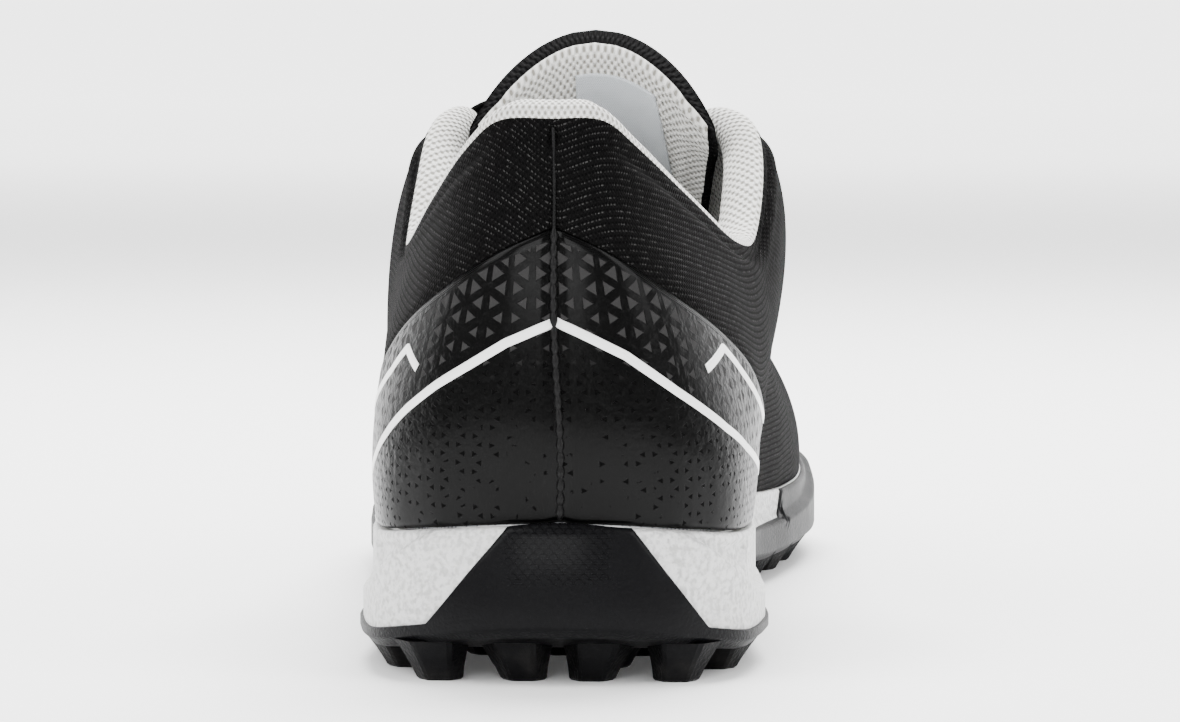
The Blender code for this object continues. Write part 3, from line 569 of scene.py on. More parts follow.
ripstop.links.new(calc(ripstop, "MULTIPLY_ADD", row_wave, 0.22, cells), wanted["Height"])
# Painted glints: bright dashes on some rows, a painted highlight laid in the colour.
on_row = smooth_step(ripstop, calc(ripstop, "PINGPONG", row_turn, 0.5), 0.33, 0.44)
uneven = put(ripstop, "ShaderNodeTexNoise", {"Vector": given["Place"], "Scale": 0.45, "Detail": 3.0})
glint_turn = calc(ripstop, "MULTIPLY_ADD", uneven.outputs[0], 3.0, cell_turn)
on_glint = smooth_step(ripstop, calc(ripstop, "PINGPONG", glint_turn, 0.5), 0.18, 0.32)
bright = smooth_step(ripstop, uneven.outputs[0], 0.38, 0.66)
painted_glint = calc(ripstop, "MULTIPLY", calc(ripstop, "MULTIPLY", on_row, on_glint), bright)
ripstop.links.new(painted_glint, wanted["Painted glint"])

# %% [markdown]
# The white lining is a spacer mesh: a knit with rows of small raised cells and dark pinholes between them. The
# product of two cosines gives hills and hollows in a checked order, and the deepest hollows are the holes.

# %% Air mesh group
air_mesh, given, wanted = new_group("air_mesh", {"Place": None, "Pitch": 1.7}, ["Height", "Hole"])
split = put(air_mesh, "ShaderNodeSeparateXYZ", {0: given["Place"]})
turns = [calc(air_mesh, "DIVIDE", split.outputs[k], given["Pitch"]) for k in (0, 1)]
waves = [calc(air_mesh, "COSINE", calc(air_mesh, "MULTIPLY", turns[k], (2 * math.pi, 1.7 * math.pi)[k])) for k in (0, 1)]
hills = calc(air_mesh, "MULTIPLY", *waves)
air_mesh.links.new(smooth_step(air_mesh, hills, -0.9, 0.5), wanted["Height"])
air_mesh.links.new(smooth_step(air_mesh, hills, -0.25, -0.75), wanted["Hole"])

# %% [markdown]
# The heel film is embossed with a lattice of ribs in three directions. Distances to the three families of
# lines are three ping-pongs. Where the least of them is over half the rib, there is a sunken cell. The ribs
# grow wider down the heel, so the cells shrink to small pits.

# %% Lattice group
lattice, given, wanted = new_group("lattice", {"Place": None, "Side": 5.1, "Rib": 1.2}, ["Cell"])
split = put(lattice, "ShaderNodeSeparateXYZ", {0: given["Place"]})
line_gap = calc(lattice, "MULTIPLY", given["Side"], math.sqrt(3) / 2)
distances = []
for angle in (90.0, 210.0, 330.0):
    sine, cosine = math.sin(math.radians(angle)), math.cos(math.radians(angle))
    across_line = calc(
        lattice, "MULTIPLY_ADD", split.outputs[0], sine, calc(lattice, "MULTIPLY", split.outputs[1], cosine)
    )
    turn = calc(lattice, "DIVIDE", across_line, line_gap)
    distances.append(calc(lattice, "MULTIPLY", calc(lattice, "PINGPONG", turn, 0.5), line_gap))
nearest = calc(lattice, "MINIMUM", calc(lattice, "MINIMUM", distances[0], distances[1]), distances[2])
half_rib = calc(lattice, "MULTIPLY", given["Rib"], 0.5)
cell = smooth_step(lattice, calc(lattice, "SUBTRACT", nearest, half_rib), -0.06, 0.10)
lattice.links.new(cell, wanted["Cell"])

# %% [markdown]
# Foam, rubber and film all have a moulded skin: fine grain over slow unevenness. Dust is a worn haze of
# colour that gathers low on the shoe and in patches. Both read object coordinates, in metres.

# %% Grain and dust groups
grain, given, wanted = new_group("grain", {"Place": None, "Scale": 900.0, "Slow": 60.0}, ["Height", "Tone"])
fine = put(grain, "ShaderNodeTexNoise", {"Vector": given["Place"], "Scale": given["Scale"], "Detail": 3.0})
slow = put(grain, "ShaderNodeTexNoise", {"Vector": given["Place"], "Scale": given["Slow"], "Detail": 4.0})
grain.links.new(fine.outputs[0], wanted["Height"])
grain.links.new(slow.outputs[0], wanted["Tone"])

dust, given, wanted = new_group("dust", {"Place": None, "Up to": 0.02, "Amount": 0.5}, ["Mask"])
split = put(dust, "ShaderNodeSeparateXYZ", {0: given["Place"]})
low_down = smooth_step(dust, calc(dust, "DIVIDE", split.outputs[2], given["Up to"]), 1.2, 0.0)
patches = put(dust, "ShaderNodeTexNoise", {"Vector": given["Place"], "Scale": 140.0, "Detail": 5.0})
patchy = smooth_step(dust, patches.outputs[0], 0.42, 0.68)
dust.links.new(calc(dust, "MULTIPLY", calc(dust, "MULTIPLY", low_down, patchy), given["Amount"]), wanted["Mask"])

# %% [markdown]
# The rubber behind the heel is covered with small overlapping scales. A row's scales are half circles, shifted
# by half a scale from row to row: the distance from each scale's centre gives its rounded edge.

# %% Scales group
scales, given, wanted = new_group("scales", {"Place": None, "Pitch": 1.9}, ["Height"])
split = put(scales, "ShaderNodeSeparateXYZ", {0: given["Place"]})
rows_up = calc(scales, "DIVIDE", split.outputs[1], calc(scales, "MULTIPLY", given["Pitch"], 0.62))
row_number = calc(scales, "FLOOR", rows_up)
in_row = calc(scales, "SUBTRACT", rows_up, row_number)
shift = calc(scales, "MULTIPLY", row_number, 0.5)
along_row = calc(scales, "ADD", calc(scales, "DIVIDE", split.outputs[0], given["Pitch"]), shift)
in_scale = calc(scales, "SUBTRACT", calc(scales, "FRACT", along_row), 0.5)
reach = calc(scales, "SQRT", calc(scales, "ADD", calc(scales, "POWER", in_scale, 2.0), calc(
    scales, "POWER", calc(scales, "MULTIPLY", in_row, 0.5), 2.0)))
scales.links.new(smooth_step(scales, reach, 0.50, 0.36), wanted["Height"])
print("effect groups:", [g.name for g in (ripstop, air_mesh, lattice, grain, dust, scales)])

# %% [markdown]
# ## Materials
# Each material is a Principled BSDF fed by the groups. One helper lays out the nodes that all of them need:
# the UV place in millimetres, the object place in metres, and a bump chain.


# %% Material helpers
def new_material(name, roughness=0.6, coat=0.0, coat_roughness=0.1, sheen=0.0, specular=0.5):
    """A material's tree, its shader, and its two places: uv in millimetres and the object's own in metres."""
    material = bpy.data.materials.new(name)
    material.use_nodes = True
    tree = material.node_tree
    shader = tree.nodes["Principled BSDF"]
    constants = {"Roughness": roughness, "Coat Weight": coat, "Coat Roughness": coat_roughness}
    constants.update({"Sheen Weight": sheen, "Specular IOR Level": specular})
    for key, value in constants.items():
        shader.inputs[key].default_value = value
    places = tree.nodes.new("ShaderNodeTexCoord").outputs
    return material, tree, shader, places["UV"], places["Object"]


def mix_colour(tree, factor, first, second):
    """Colour mix: first where the factor is 0, second where it is 1."""
    node = put(tree, "ShaderNodeMix", {"Factor": factor}, data_type="RGBA")
    for socket, value in ((node.inputs[6], first), (node.inputs[7], second)):
        if isinstance(value, bpy.types.NodeSocket):
            tree.links.new(value, socket)
        else:
            socket.default_value = (*value, 1.0)
    return node.outputs[2]


def mix_value(tree, factor, first, second):
    """first + factor * (second - first)."""
    return put(tree, "ShaderNodeMapRange", {"Value": factor, "To Min": first, "To Max": second}).outputs[0]


def bump(tree, shader, *layers):
    """Chain of bumps: each layer is a height and the real depth, in metres, of its relief."""
    before = None
    for height, depth in layers:
        node = put(tree, "ShaderNodeBump", {"Height": height, "Strength": 1.0, "Distance": depth})
        if before is not None:
            tree.links.new(before, node.inputs["Normal"])
        before = node.outputs[0]
    tree.links.new(before, shader.inputs["Normal"])


# %% [markdown]
# The cloth is near black with a slight violet cast. The tops of its cells are less rough and painted lighter, a
# painted highlight, and its grey dashes are painted glints.

# %% Upper cloth
cloth, tree, shader, uv_place, place = new_material("ripstop_cloth", specular=0.012)
weave = use(tree, ripstop, Place=uv_place)
skin = use(tree, grain, Place=place, Scale=1400.0, Slow=45.0)
dirt = use(tree, dust, Place=place, Up_to=0.05, Amount=0.25)
base = mix_colour(tree, skin["Tone"], (0.0010, 0.0010, 0.0010), (0.0022, 0.0021, 0.0022))
# Cell tops painted lighter than the hollows: a painted highlight, where the roughness is also lower.
tops_painted_lighter = mix_colour(tree, calc(tree, "MULTIPLY", weave["Height"], 0.5), base, (0.0065, 0.0062, 0.0062))
# Bright grey dashes mixed in: painted glints, a painted highlight on the threads.
with_painted_glints = mix_colour(tree, calc(tree, "MULTIPLY", weave["Painted glint"], 0.65), tops_painted_lighter, (0.055, 0.054, 0.053))
coloured = mix_colour(tree, dirt["Mask"], with_painted_glints, (0.02, 0.0195, 0.019))
tree.links.new(coloured, shader.inputs["Base Color"])
tree.links.new(mix_value(tree, weave["Height"], 0.80, 0.55), shader.inputs["Roughness"])
bump(tree, shader, (weave["Height"], 0.00022), (skin["Height"], 0.00006))

# %% [markdown]
# Linings and padding are the white spacer mesh, slightly warm, with pinholes painted grey: painted shade. The
# tongue's outside and its binding are a plain black knit with a finer mesh, its raised cells painted lighter.

# %% Lining, insole and tongue
lining, tree, shader, uv_place, place = new_material("white_air_mesh", roughness=0.85, sheen=0.25)
knit = use(tree, air_mesh, Place=uv_place, Pitch=1.7)
skin = use(tree, grain, Place=place, Scale=2200.0, Slow=40.0)
base = mix_colour(tree, skin["Tone"], (0.66, 0.65, 0.61), (0.80, 0.795, 0.77))
# Pinholes painted dark grey: painted shade in the holes.
holes_painted_dark = mix_colour(tree, calc(tree, "MULTIPLY", knit["Hole"], 0.9), base, (0.17, 0.16, 0.13))
tree.links.new(holes_painted_dark, shader.inputs["Base Color"])
bump(tree, shader, (knit["Height"], 0.0005), (skin["Height"], 0.00008))

black_knit, tree, shader, uv_place, place = new_material("black_knit", roughness=0.75, specular=0.02)
knit = use(tree, air_mesh, Place=uv_place, Pitch=1.1)
skin = use(tree, grain, Place=place, Scale=2200.0, Slow=40.0)
# Raised cells painted lighter than the hollows: painted highlight and shade in the knit.
base = mix_colour(tree, knit["Height"], (0.0010, 0.0010, 0.0011), (0.0055, 0.0053, 0.0055))
tree.links.new(mix_colour(tree, skin["Tone"], base, (0.0022, 0.0021, 0.0022)), shader.inputs["Base Color"])
bump(tree, shader, (knit["Height"], 0.00025), (skin["Height"], 0.00008))

sock, tree, shader, uv_place, place = new_material("sock_liner", roughness=0.9, sheen=0.3)
knit = use(tree, air_mesh, Place=put(tree, "ShaderNodeVectorMath", {0: place, 1: (1000, 1000, 1000)},
                                     operation="MULTIPLY").outputs[0], Pitch=1.3)
skin = use(tree, grain, Place=place, Scale=1500.0, Slow=30.0)
base = mix_colour(tree, skin["Tone"], (0.33, 0.34, 0.36), (0.47, 0.48, 0.50))
# Holes painted darker grey: painted shade in the knit's holes.
tree.links.new(mix_colour(tree, knit["Hole"], base, (0.20, 0.20, 0.22)), shader.inputs["Base Color"])
bump(tree, shader, (knit["Height"], 0.0002), (skin["Height"], 0.0001))

# %% [markdown]
# The heel film is a glossy black skin. Its cells are sunken and matt, and far down the heel only a scatter of
# pits is left. The film mesh carries an attribute, `below`, the distance in millimetres under its top edge,
# and the ribs widen with it.

# %% Heel film
film, tree, shader, uv_place, place = new_material("heel_film", coat=0.14, coat_roughness=0.17, specular=0.03)
below = put(tree, "ShaderNodeAttribute", attribute_name="below").outputs["Fac"]
rib = put(tree, "ShaderNodeMapRange", {"Value": below, "From Min": 3.0, "From Max": 24.0, "To Min": 1.15,
                                       "To Max": 2.35}).outputs[0]
cells = use(tree, lattice, Place=uv_place, Side=5.1, Rib=rib)
pits = use(tree, lattice, Place=uv_place, Side=3.1, Rib=1.2)
skin = use(tree, grain, Place=place, Scale=1100.0, Slow=330.0)
from_seam = calc(tree, "ABSOLUTE", put(tree, "ShaderNodeSeparateXYZ", {0: uv_place}).outputs[0])
scarce = calc(tree, "MULTIPLY", smooth_step(tree, from_seam, 20.0, 6.0), 0.10)
least = calc(tree, "ADD", mix_value(tree, smooth_step(tree, below, 22.0, 50.0), 0.36, 0.50), scarce)
rare = calc(tree, "GREATER_THAN", skin["Tone"], least)
low_pits = calc(tree, "MULTIPLY", calc(tree, "MULTIPLY", pits["Cell"], rare), smooth_step(tree, below, 17.0, 24.0))
upper_cells = calc(tree, "MULTIPLY", cells["Cell"], smooth_step(tree, below, 24.0, 18.0))
in_edge = smooth_step(tree, below, 1.9, 2.3)
upper_cells = calc(tree, "MULTIPLY", upper_cells, in_edge)
sunk = calc(tree, "MAXIMUM", upper_cells, low_pits)
worn = use(tree, dust, Place=place, Up_to=0.05, Amount=0.12)
base = mix_colour(tree, upper_cells, (0.0006, 0.0006, 0.0006), (0.024, 0.0235, 0.0235))
tree.links.new(mix_colour(tree, worn["Mask"], base, (0.012, 0.012, 0.012)), shader.inputs["Base Color"])
tree.links.new(mix_value(tree, sunk, 0.30, 0.62), shader.inputs["Roughness"])
tree.links.new(mix_value(tree, sunk, 0.13, 0.0), shader.inputs["Coat Weight"])
raised = calc(tree, "SUBTRACT", 1.0, sunk)
peel = put(tree, "ShaderNodeTexNoise", {"Vector": place, "Scale": 620.0, "Detail": 2.0}).outputs[0]
peel_zone = mix_value(tree, smooth_step(tree, below, 42.0, 22.0), 0.12, 1.0)
wrinkle = calc(tree, "MULTIPLY", peel, peel_zone)
piping = calc(tree, "SINE", calc(tree, "MULTIPLY", below, 2 * math.pi / 0.95))
piping = calc(tree, "MULTIPLY", calc(tree, "ABSOLUTE", piping), smooth_step(tree, below, 1.9, 1.6))
bump(tree, shader, (raised, 0.00045), (wrinkle, 0.00045), (piping, 0.0003), (skin["Height"], 0.000025))

# %% [markdown]
# The foam is white with a fine leathery grain whose hollows are painted grey, a painted shade. The rubber is
# black: scaled behind the heel, plain elsewhere, and dusty where it meets the ground.

# %% Foam and rubber
foam, tree, shader, uv_place, place = new_material("white_foam", roughness=0.55, specular=0.35)
skin = use(tree, grain, Place=place, Scale=1000.0, Slow=70.0)
dirt = use(tree, dust, Place=place, Up_to=0.016, Amount=0.35)
# Grain hollows painted grey and tops left light: painted shade in the grain.
grain_painted_shade = mix_colour(tree, smooth_step(tree, skin["Height"], 0.35, 0.6), (0.36, 0.36, 0.355), (0.64, 0.64, 0.635))
base = mix_colour(tree, calc(tree, "MULTIPLY", skin["Tone"], 0.5), grain_painted_shade, (0.66, 0.66, 0.655))
tree.links.new(mix_colour(tree, dirt["Mask"], base, (0.46, 0.44, 0.41)), shader.inputs["Base Color"])
bump(tree, shader, (skin["Height"], 0.0007))

rubber, tree, shader, uv_place, place = new_material("black_rubber", coat=0.06, coat_roughness=0.22, specular=0.04)
skin = use(tree, grain, Place=place, Scale=1500.0, Slow=90.0)
scaly = use(tree, scales, Place=uv_place, Pitch=1.4)
dirt = use(tree, dust, Place=place, Up_to=0.008, Amount=0.5)
split = put(tree, "ShaderNodeSeparateXYZ", {0: uv_place})
ragged = calc(tree, "MULTIPLY", skin["Tone"], 7.0)
behind = smooth_step(tree, calc(tree, "ADD", calc(tree, "ABSOLUTE", split.outputs[0]), ragged), 12.5, 9.5)
above = smooth_step(tree, calc(tree, "SUBTRACT", split.outputs[1], ragged), 13.0, 16.0)
relief = calc(tree, "MULTIPLY", scaly["Height"], calc(tree, "MULTIPLY", behind, above))
base = mix_colour(tree, skin["Tone"], (0.0018, 0.0018, 0.0021), (0.0040, 0.0040, 0.0046))
tree.links.new(mix_colour(tree, dirt["Mask"], base, (0.022, 0.021, 0.020)), shader.inputs["Base Color"])
tree.links.new(mix_value(tree, skin["Tone"], 0.34, 0.52), shader.inputs["Roughness"])
bump(tree, shader, (relief, 0.0003), (skin["Height"], 0.00022))

# %% [markdown]
# Small things: white printed stripe, dark thread, flat lace, lacquered eyelet and the grey woven label, which
# is left bare.

# %% Print, thread, lace, eyelet and label
stripe, tree, shader, uv_place, place = new_material("white_print", roughness=0.38, coat=0.2)
skin = use(tree, grain, Place=place, Scale=1500.0, Slow=200.0)
tree.links.new(mix_colour(tree, skin["Tone"], (0.80, 0.80, 0.79), (0.90, 0.90, 0.89)), shader.inputs["Base Color"])
bump(tree, shader, (skin["Height"], 0.00004))

thread, tree, shader, uv_place, place = new_material("black_thread", roughness=0.4, specular=0.12)
skin = use(tree, grain, Place=place, Scale=2500.0, Slow=300.0)
tree.links.new(mix_colour(tree, skin["Tone"], (0.0012, 0.0012, 0.0012), (0.005, 0.0048, 0.005)),
               shader.inputs["Base Color"])
bump(tree, shader, (skin["Height"], 0.0001))

braid, tree, shader, uv_place, place = new_material("flat_braid", roughness=0.7, specular=0.06)
knit = use(tree, air_mesh, Place=uv_place, Pitch=0.9)
skin = use(tree, grain, Place=place, Scale=2500.0, Slow=80.0)
# Raised cells of the braid painted lighter than the hollows: painted highlight and shade.
base = mix_colour(tree, knit["Height"], (0.0012, 0.0012, 0.0012), (0.006, 0.006, 0.0062))
tree.links.new(mix_colour(tree, skin["Tone"], base, (0.005, 0.005, 0.005)), shader.inputs["Base Color"])
bump(tree, shader, (knit["Height"], 0.0002))

lacquer, tree, shader, uv_place, place = new_material("eyelet_lacquer", roughness=0.3, coat=0.4)
skin = use(tree, grain, Place=place, Scale=1800.0, Slow=150.0)
tree.links.new(mix_colour(tree, skin["Tone"], (0.0015, 0.0015, 0.0015), (0.005, 0.005, 0.005)),
               shader.inputs["Base Color"])
bump(tree, shader, (skin["Height"], 0.00003))

satin, tree, shader, uv_place, place = new_material("grey_satin", roughness=0.5, sheen=0.2)
skin = use(tree, grain, Place=place, Scale=2600.0, Slow=120.0)
knit = use(tree, air_mesh, Place=uv_place, Pitch=0.5)
base = mix_colour(tree, skin["Tone"], (0.50, 0.53, 0.56), (0.60, 0.63, 0.66))
# Holes of the weave painted darker: painted shade between the threads.
tree.links.new(mix_colour(tree, knit["Hole"], base, (0.40, 0.42, 0.45)), shader.inputs["Base Color"])
bump(tree, shader, (knit["Height"], 0.00006))
print("materials:", len(bpy.data.materials))

# %% [markdown]
# ## The upper
# The upper is one shell: black cloth outside, then the padded roll of the collar, then the white mesh lining
# down to the insole. One grid makes all of it: its rows go up the outside, round the roll and down the
# inside, and close on themselves under the foot. Soft troughs are placed one by one: under the collar's seam,
# beside the back seam, and across the ball where the foot bends.

# %% Shape of the upper's faces
EYESTAY_STEP = 0.0007
EYESTAY_EDGE = 0.84
COLLAR_ROLL = 0.0027
THROAT_ROLL = 0.0005
FILM_SEAT = 0.0004
COUNTER_END = 0.395
SEAM_TROUGH = 0.0007
SEAM_TROUGH_WIDTH = 0.0016
COLLAR_TROUGH = 0.0005
FLEX_TROUGH = 0.0007
FLEX_STATIONS = (0.60, 0.655, 0.70)


def hill(value, centre, width):
    """Gaussian: exp of minus the squared distance from the centre in widths."""
    return np.exp(-(((value - centre) / width) ** 2))


def wall_thickness(station, share):
    """Plain wall, times the padding towards the top edge."""
    padding = around(WALL, 1, 1, station)
    return UPPER_WALL * (1 + (padding - 1) * ease((share - 0.30) / 0.45))


def outer_depth(station, share):
    """How far the cloth lies under the last: film's seat, eyestay's step, seam, collar and flex troughs."""
    size = np.abs(station)
    eyestay = ease((size - 0.43) / 0.02) * ease((share - EYESTAY_EDGE) / 0.012 + 0.5)
    depth = EYESTAY_STEP * (1 - eyestay) * ease((size - 0.40) / 0.06) * ease((share - 0.1) / 0.4)
    edge = counter_edge(station)
    under_film = (size < COUNTER_END) * ease((edge - share) / 0.012 + 0.5)
    depth = depth + FILM_SEAT * under_film + 0.0003 * hill(share, edge + 0.010, 0.008) * (size < COUNTER_END)
    depth = depth + SEAM_TROUGH * hill(arc(station), 0, SEAM_TROUGH_WIDTH) * (share < 0.985)
    collar = 1 - ease((size - 0.40) / 0.05)
    depth = depth + COLLAR_TROUGH * collar * (hill(share, 0.945, 0.018) - 0.8 * hill(share, 0.89, 0.035))
    for flex in FLEX_STATIONS:
        depth = depth + FLEX_TROUGH * hill(size, flex + 0.02 * (share - 0.5), 0.012) * hill(share, 0.55, 0.22)
    return depth


def outer_face(station, share):
    """The last, moved in along its normal by outer_depth."""
    return last(station, share) - last_normal(station, share) * outer_depth(station, share)[..., None]


def dense_stations(count):
    """Stations round the shoe, twice as close together at the back seam as on average."""
    turn = np.linspace(-1, 1, count, endpoint=False)
    return turn * (0.5 + 0.5 * turn * turn)


# %% [markdown]
# The roll is half an ellipse carried round the collar. The lining bulges a little more between the collar and
# the heel, because the foam behind it is thick, and pulls in at the seam under the roll.

# %% Upper shell
SHELL_COLUMNS = 480
OUTER_ROWS = 88
ROLL_ROWS = 12
INNER_ROWS = 40

at = dense_stations(SHELL_COLUMNS)
station_grid, share_grid = np.meshgrid(at, np.linspace(0, 1, OUTER_ROWS) ** 0.95, indexing="xy")
outside = outer_face(station_grid, share_grid)

top = last(at, 1 + 0 * at)
normal = last_normal(at, 1 + 0 * at)
lift = top - last(at, 0.98 + 0 * at)
lift /= np.linalg.norm(lift, axis=-1, keepdims=True)
collar_part = 1 - ease((np.abs(at) - 0.42) / 0.05)
roll_height = THROAT_ROLL + (COLLAR_ROLL - THROAT_ROLL) * collar_part
thickness = wall_thickness(at, 1 + 0 * at)
angle = np.linspace(0, math.pi, ROLL_ROWS + 2)[1:-1, None, None]
lip = 0.00045 * collar_part[:, None] * np.sin(angle) ** 0.3
roll = top + lift * roll_height[:, None] * np.sin(angle) ** 0.8 - normal * (
    thickness[:, None] * (1 - np.cos(angle)) / 2 - lip * (angle < 1.2))

station_in, share_in = np.meshgrid(at, np.linspace(1, 0, INNER_ROWS), indexing="xy")
bulge = 0.0012 * hill(share_in, 0.80, 0.14) - 0.0010 * hill(share_in, 0.955, 0.02)
bulge = bulge * (1 - ease((np.abs(station_in) - 0.42) / 0.05))
inside = last(station_in, share_in) - last_normal(station_in, share_in) * (
    wall_thickness(station_in, share_in) + bulge)[..., None]
inside[-1, :, 2] = outside[0, :, 2]

shell_points = np.concatenate([outside, roll, inside])
runs = np.linalg.norm(np.diff(shell_points, axis=0), axis=-1)
along_wall = np.concatenate([np.zeros((1, SHELL_COLUMNS)), np.cumsum(runs, axis=0)])
from_collar = along_wall - along_wall[OUTER_ROWS - 1]
shell_v = np.concatenate([from_collar, from_collar[-1:] + 0.002])
shell_v = np.concatenate([shell_v, shell_v[:, :1]], axis=1)
shell_u = np.broadcast_to(np.append(arc(at), arc(1.0)), shell_v.shape)


def shell_paint(i, j):
    """Cloth up to the collar's seam and over the throat's edge, lining after it."""
    station = np.interp(j, np.arange(SHELL_COLUMNS), at)
    throat = np.abs(station) > 0.45
    return np.where(i < OUTER_ROWS - 1 + throat * (ROLL_ROWS + 3), 0, 1)


shell = make_piece("upper_shell", shell_points, grid_uv(shell_u, shell_v), [cloth, lining],
                   ring_columns=True, ring_rows=True, paint=shell_paint)
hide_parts("upper")

# %% [markdown]
# The heel film is a thin skin over the cloth, cut to a peak at the back seam. It is drawn as a sheet just over
# the last, its edges turned down to the cloth, and Solidify gives it a back.

# %% Heel film
FILM_LIFT = 0.00015
FILM_THICKNESS = 0.0005


def outside_of_heel(where):
    """Direction away from the heel's middle, to tell the outside of a sheet."""
    return np.array(where) - np.array([LAST_TO_FRAME[0], -0.10, 0.05])


def skin_sheet(name, station, share, lift_by, material, edge=3, thickness=FILM_THICKNESS):
    """A sheet over the last: the last's point, raised by lift_by along the normal and lowered at the sheet's edges."""
    rows, columns = station.shape
    from_edge = np.minimum.outer(np.minimum(np.arange(rows), np.arange(rows)[::-1]),
                                 np.minimum(np.arange(columns), np.arange(columns)[::-1]))
    rise = lift_by - thickness * 0.8 * (1 - np.clip(from_edge / edge, 0, 1)) ** 2
    seam = SEAM_TROUGH * hill(arc(station), 0, SEAM_TROUGH_WIDTH)
    points = last(station, share) + last_normal(station, share) * (rise - seam)[..., None]
    piece = make_piece(name, points, grid_uv(arc(station), points[..., 2]), [material],
                       facing=outside_of_heel)
    body = piece.modifiers.new("back", "SOLIDIFY")
    body.thickness = thickness
    body.offset = -1.0
    return piece


film_at = np.linspace(-COUNTER_END, COUNTER_END, 400)
film_at = film_at * (0.6 + 0.4 * (film_at / COUNTER_END) ** 2)
film_share = np.linspace(0.002, 1, 84)[:, None] * (counter_edge(film_at) - 0.002)[None, :]
film_station = np.broadcast_to(film_at, film_share.shape)
counter = skin_sheet("heel_film", film_station, film_share, FILM_LIFT, film)
film_points = last(film_station, film_share)
gaps = np.linalg.norm(np.diff(film_points, axis=0), axis=-1)
up_wall = np.concatenate([np.zeros((1, film_points.shape[1])), np.cumsum(gaps, axis=0)])
below_edge = counter.data.attributes.new("below", "FLOAT", "POINT")
below_edge.data.foreach_set("value", ((up_wall[-1] - up_wall) * 1000).ravel())
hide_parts("heel_counter")

# %% [markdown]
# White pinstripes are printed on the film: a long one in a peak like the film's own edge, and a short hooked
# one on each side. Each is a narrow strip along a path of stations and heights, found back on the last by
# searching for the share with that height.

# %% Pinstripes
STRIPE_WIDTH = 0.0018
STRIPE_LIFT = 0.00030


def strip(name, stations, heights, width, material, lift_by, count=160):
    """A band along a path on the last: the path moved to both sides, in the surface, by half the width."""
    knots = np.linspace(0, 1, len(stations))
    walk = np.linspace(0, 1, count)
    station = np.interp(walk, knots, stations)
    height = np.interp(walk, knots, heights)
    share = share_at_height(station, height)
    middle = last(station, share)
    normal = last_normal(station, share)
    run = np.gradient(middle, axis=0)
    run /= np.linalg.norm(run, axis=1, keepdims=True)
    side = np.cross(normal, run)
    seam = SEAM_TROUGH * hill(arc(station), 0, SEAM_TROUGH_WIDTH)
    across = np.array([-1.0, -0.8, 0.0, 0.8, 1.0])[:, None, None]
    rise = lift_by - seam[:, None] - 0.00025 * (np.abs(across) > 0.9)
    points = middle + side * across * width / 2 + normal * rise
    length = np.concatenate([[0], np.cumsum(np.linalg.norm(np.diff(middle, axis=0), axis=1))])
    u = np.broadcast_to(length, (5, count))
    v = np.broadcast_to(across[:, :, 0] * width / 2, (5, count))
    piece = make_piece(name, points, grid_uv(u, v), [material], facing=outside_of_heel)
    body = piece.modifiers.new("back", "SOLIDIFY")
    body.thickness = 0.0003
    body.offset = -1.0
    return piece


STRIPES = {
    "pinstripe_outer": ((0.0, 63.3), (-0.0305, 59.5), (-0.0535, 55.4), (-0.0745, 51.8), (-0.0965, 47.5),
                        (-0.121, 42.2), (-0.143, 38.1), (-0.170, 34.5)),
    "pinstripe_inner": ((0.0, 63.3), (0.022, 60.4), (0.044, 57.3), (0.0745, 51.0), (0.095, 47.2), (0.114, 43.8),
                        (0.145, 39.6), (0.181, 36.1), (0.215, 33.2)),
    "hook_outer": ((-0.0955, 54.4), (-0.1145, 57.6), (-0.1355, 53.1), (-0.155, 50.6), (-0.173, 48.5),
                   (-0.195, 45.6), (-0.225, 42.5)),
    "hook_inner": ((0.107, 54.2), (0.139, 57.3), (0.164, 52.5), (0.182, 49.6), (0.2005, 47.2), (0.230, 44.2),
                   (0.265, 41.2)),
}
for name, path in STRIPES.items():
    stations, heights = zip(*path)
    strip(name, stations, np.array(heights) / 1000, STRIPE_WIDTH, stripe, STRIPE_LIFT)

# %% [markdown]
# The back seam is a stitched closing seam. A dark thread lies in the trough as a row of beads: a tube whose
# radius swells and narrows with every stitch.

# %% Back seam
SEAM_RADIUS = 0.00075
STITCH_PITCH = 0.0024


def tube(name, path, radius, material, sides=10, flat=None, facing=None):
    """A closed tube: at each point of the path a ring of the radius, or a flat rounded section of half sizes."""
    run = np.gradient(path, axis=0)
    run /= np.linalg.norm(run, axis=1, keepdims=True)
    normal = facing - run * np.sum(facing * run, axis=1, keepdims=True)
    normal /= np.linalg.norm(normal, axis=1, keepdims=True)
    side = np.cross(run, normal)
    turn = np.linspace(0, 2 * math.pi, sides, endpoint=False)
    half_wide, half_deep = (radius, radius) if flat is None else flat
    wide = np.sign(np.cos(turn)) * np.abs(np.cos(turn)) ** (1.0 if flat is None else 0.55)
    deep = np.sign(np.sin(turn)) * np.abs(np.sin(turn)) ** (1.0 if flat is None else 0.75)
    half_wide, half_deep = (np.broadcast_to(h, len(path)) for h in (half_wide, half_deep))
    points = path[:, None] + side[:, None] * (half_wide[:, None] * wide)[..., None]
    points = points + normal[:, None] * (half_deep[:, None] * deep)[..., None]
    length = np.concatenate([[0], np.cumsum(np.linalg.norm(np.diff(path, axis=0), axis=1))])
    u = np.broadcast_to(length[:, None], (len(path), sides + 1))
    v = np.broadcast_to(np.append(turn, 2 * math.pi) * np.mean(half_wide) * 0.7, u.shape)
    return make_piece(name, points, grid_uv(u, v), [material], ring_columns=True, caps=("first", "last"))


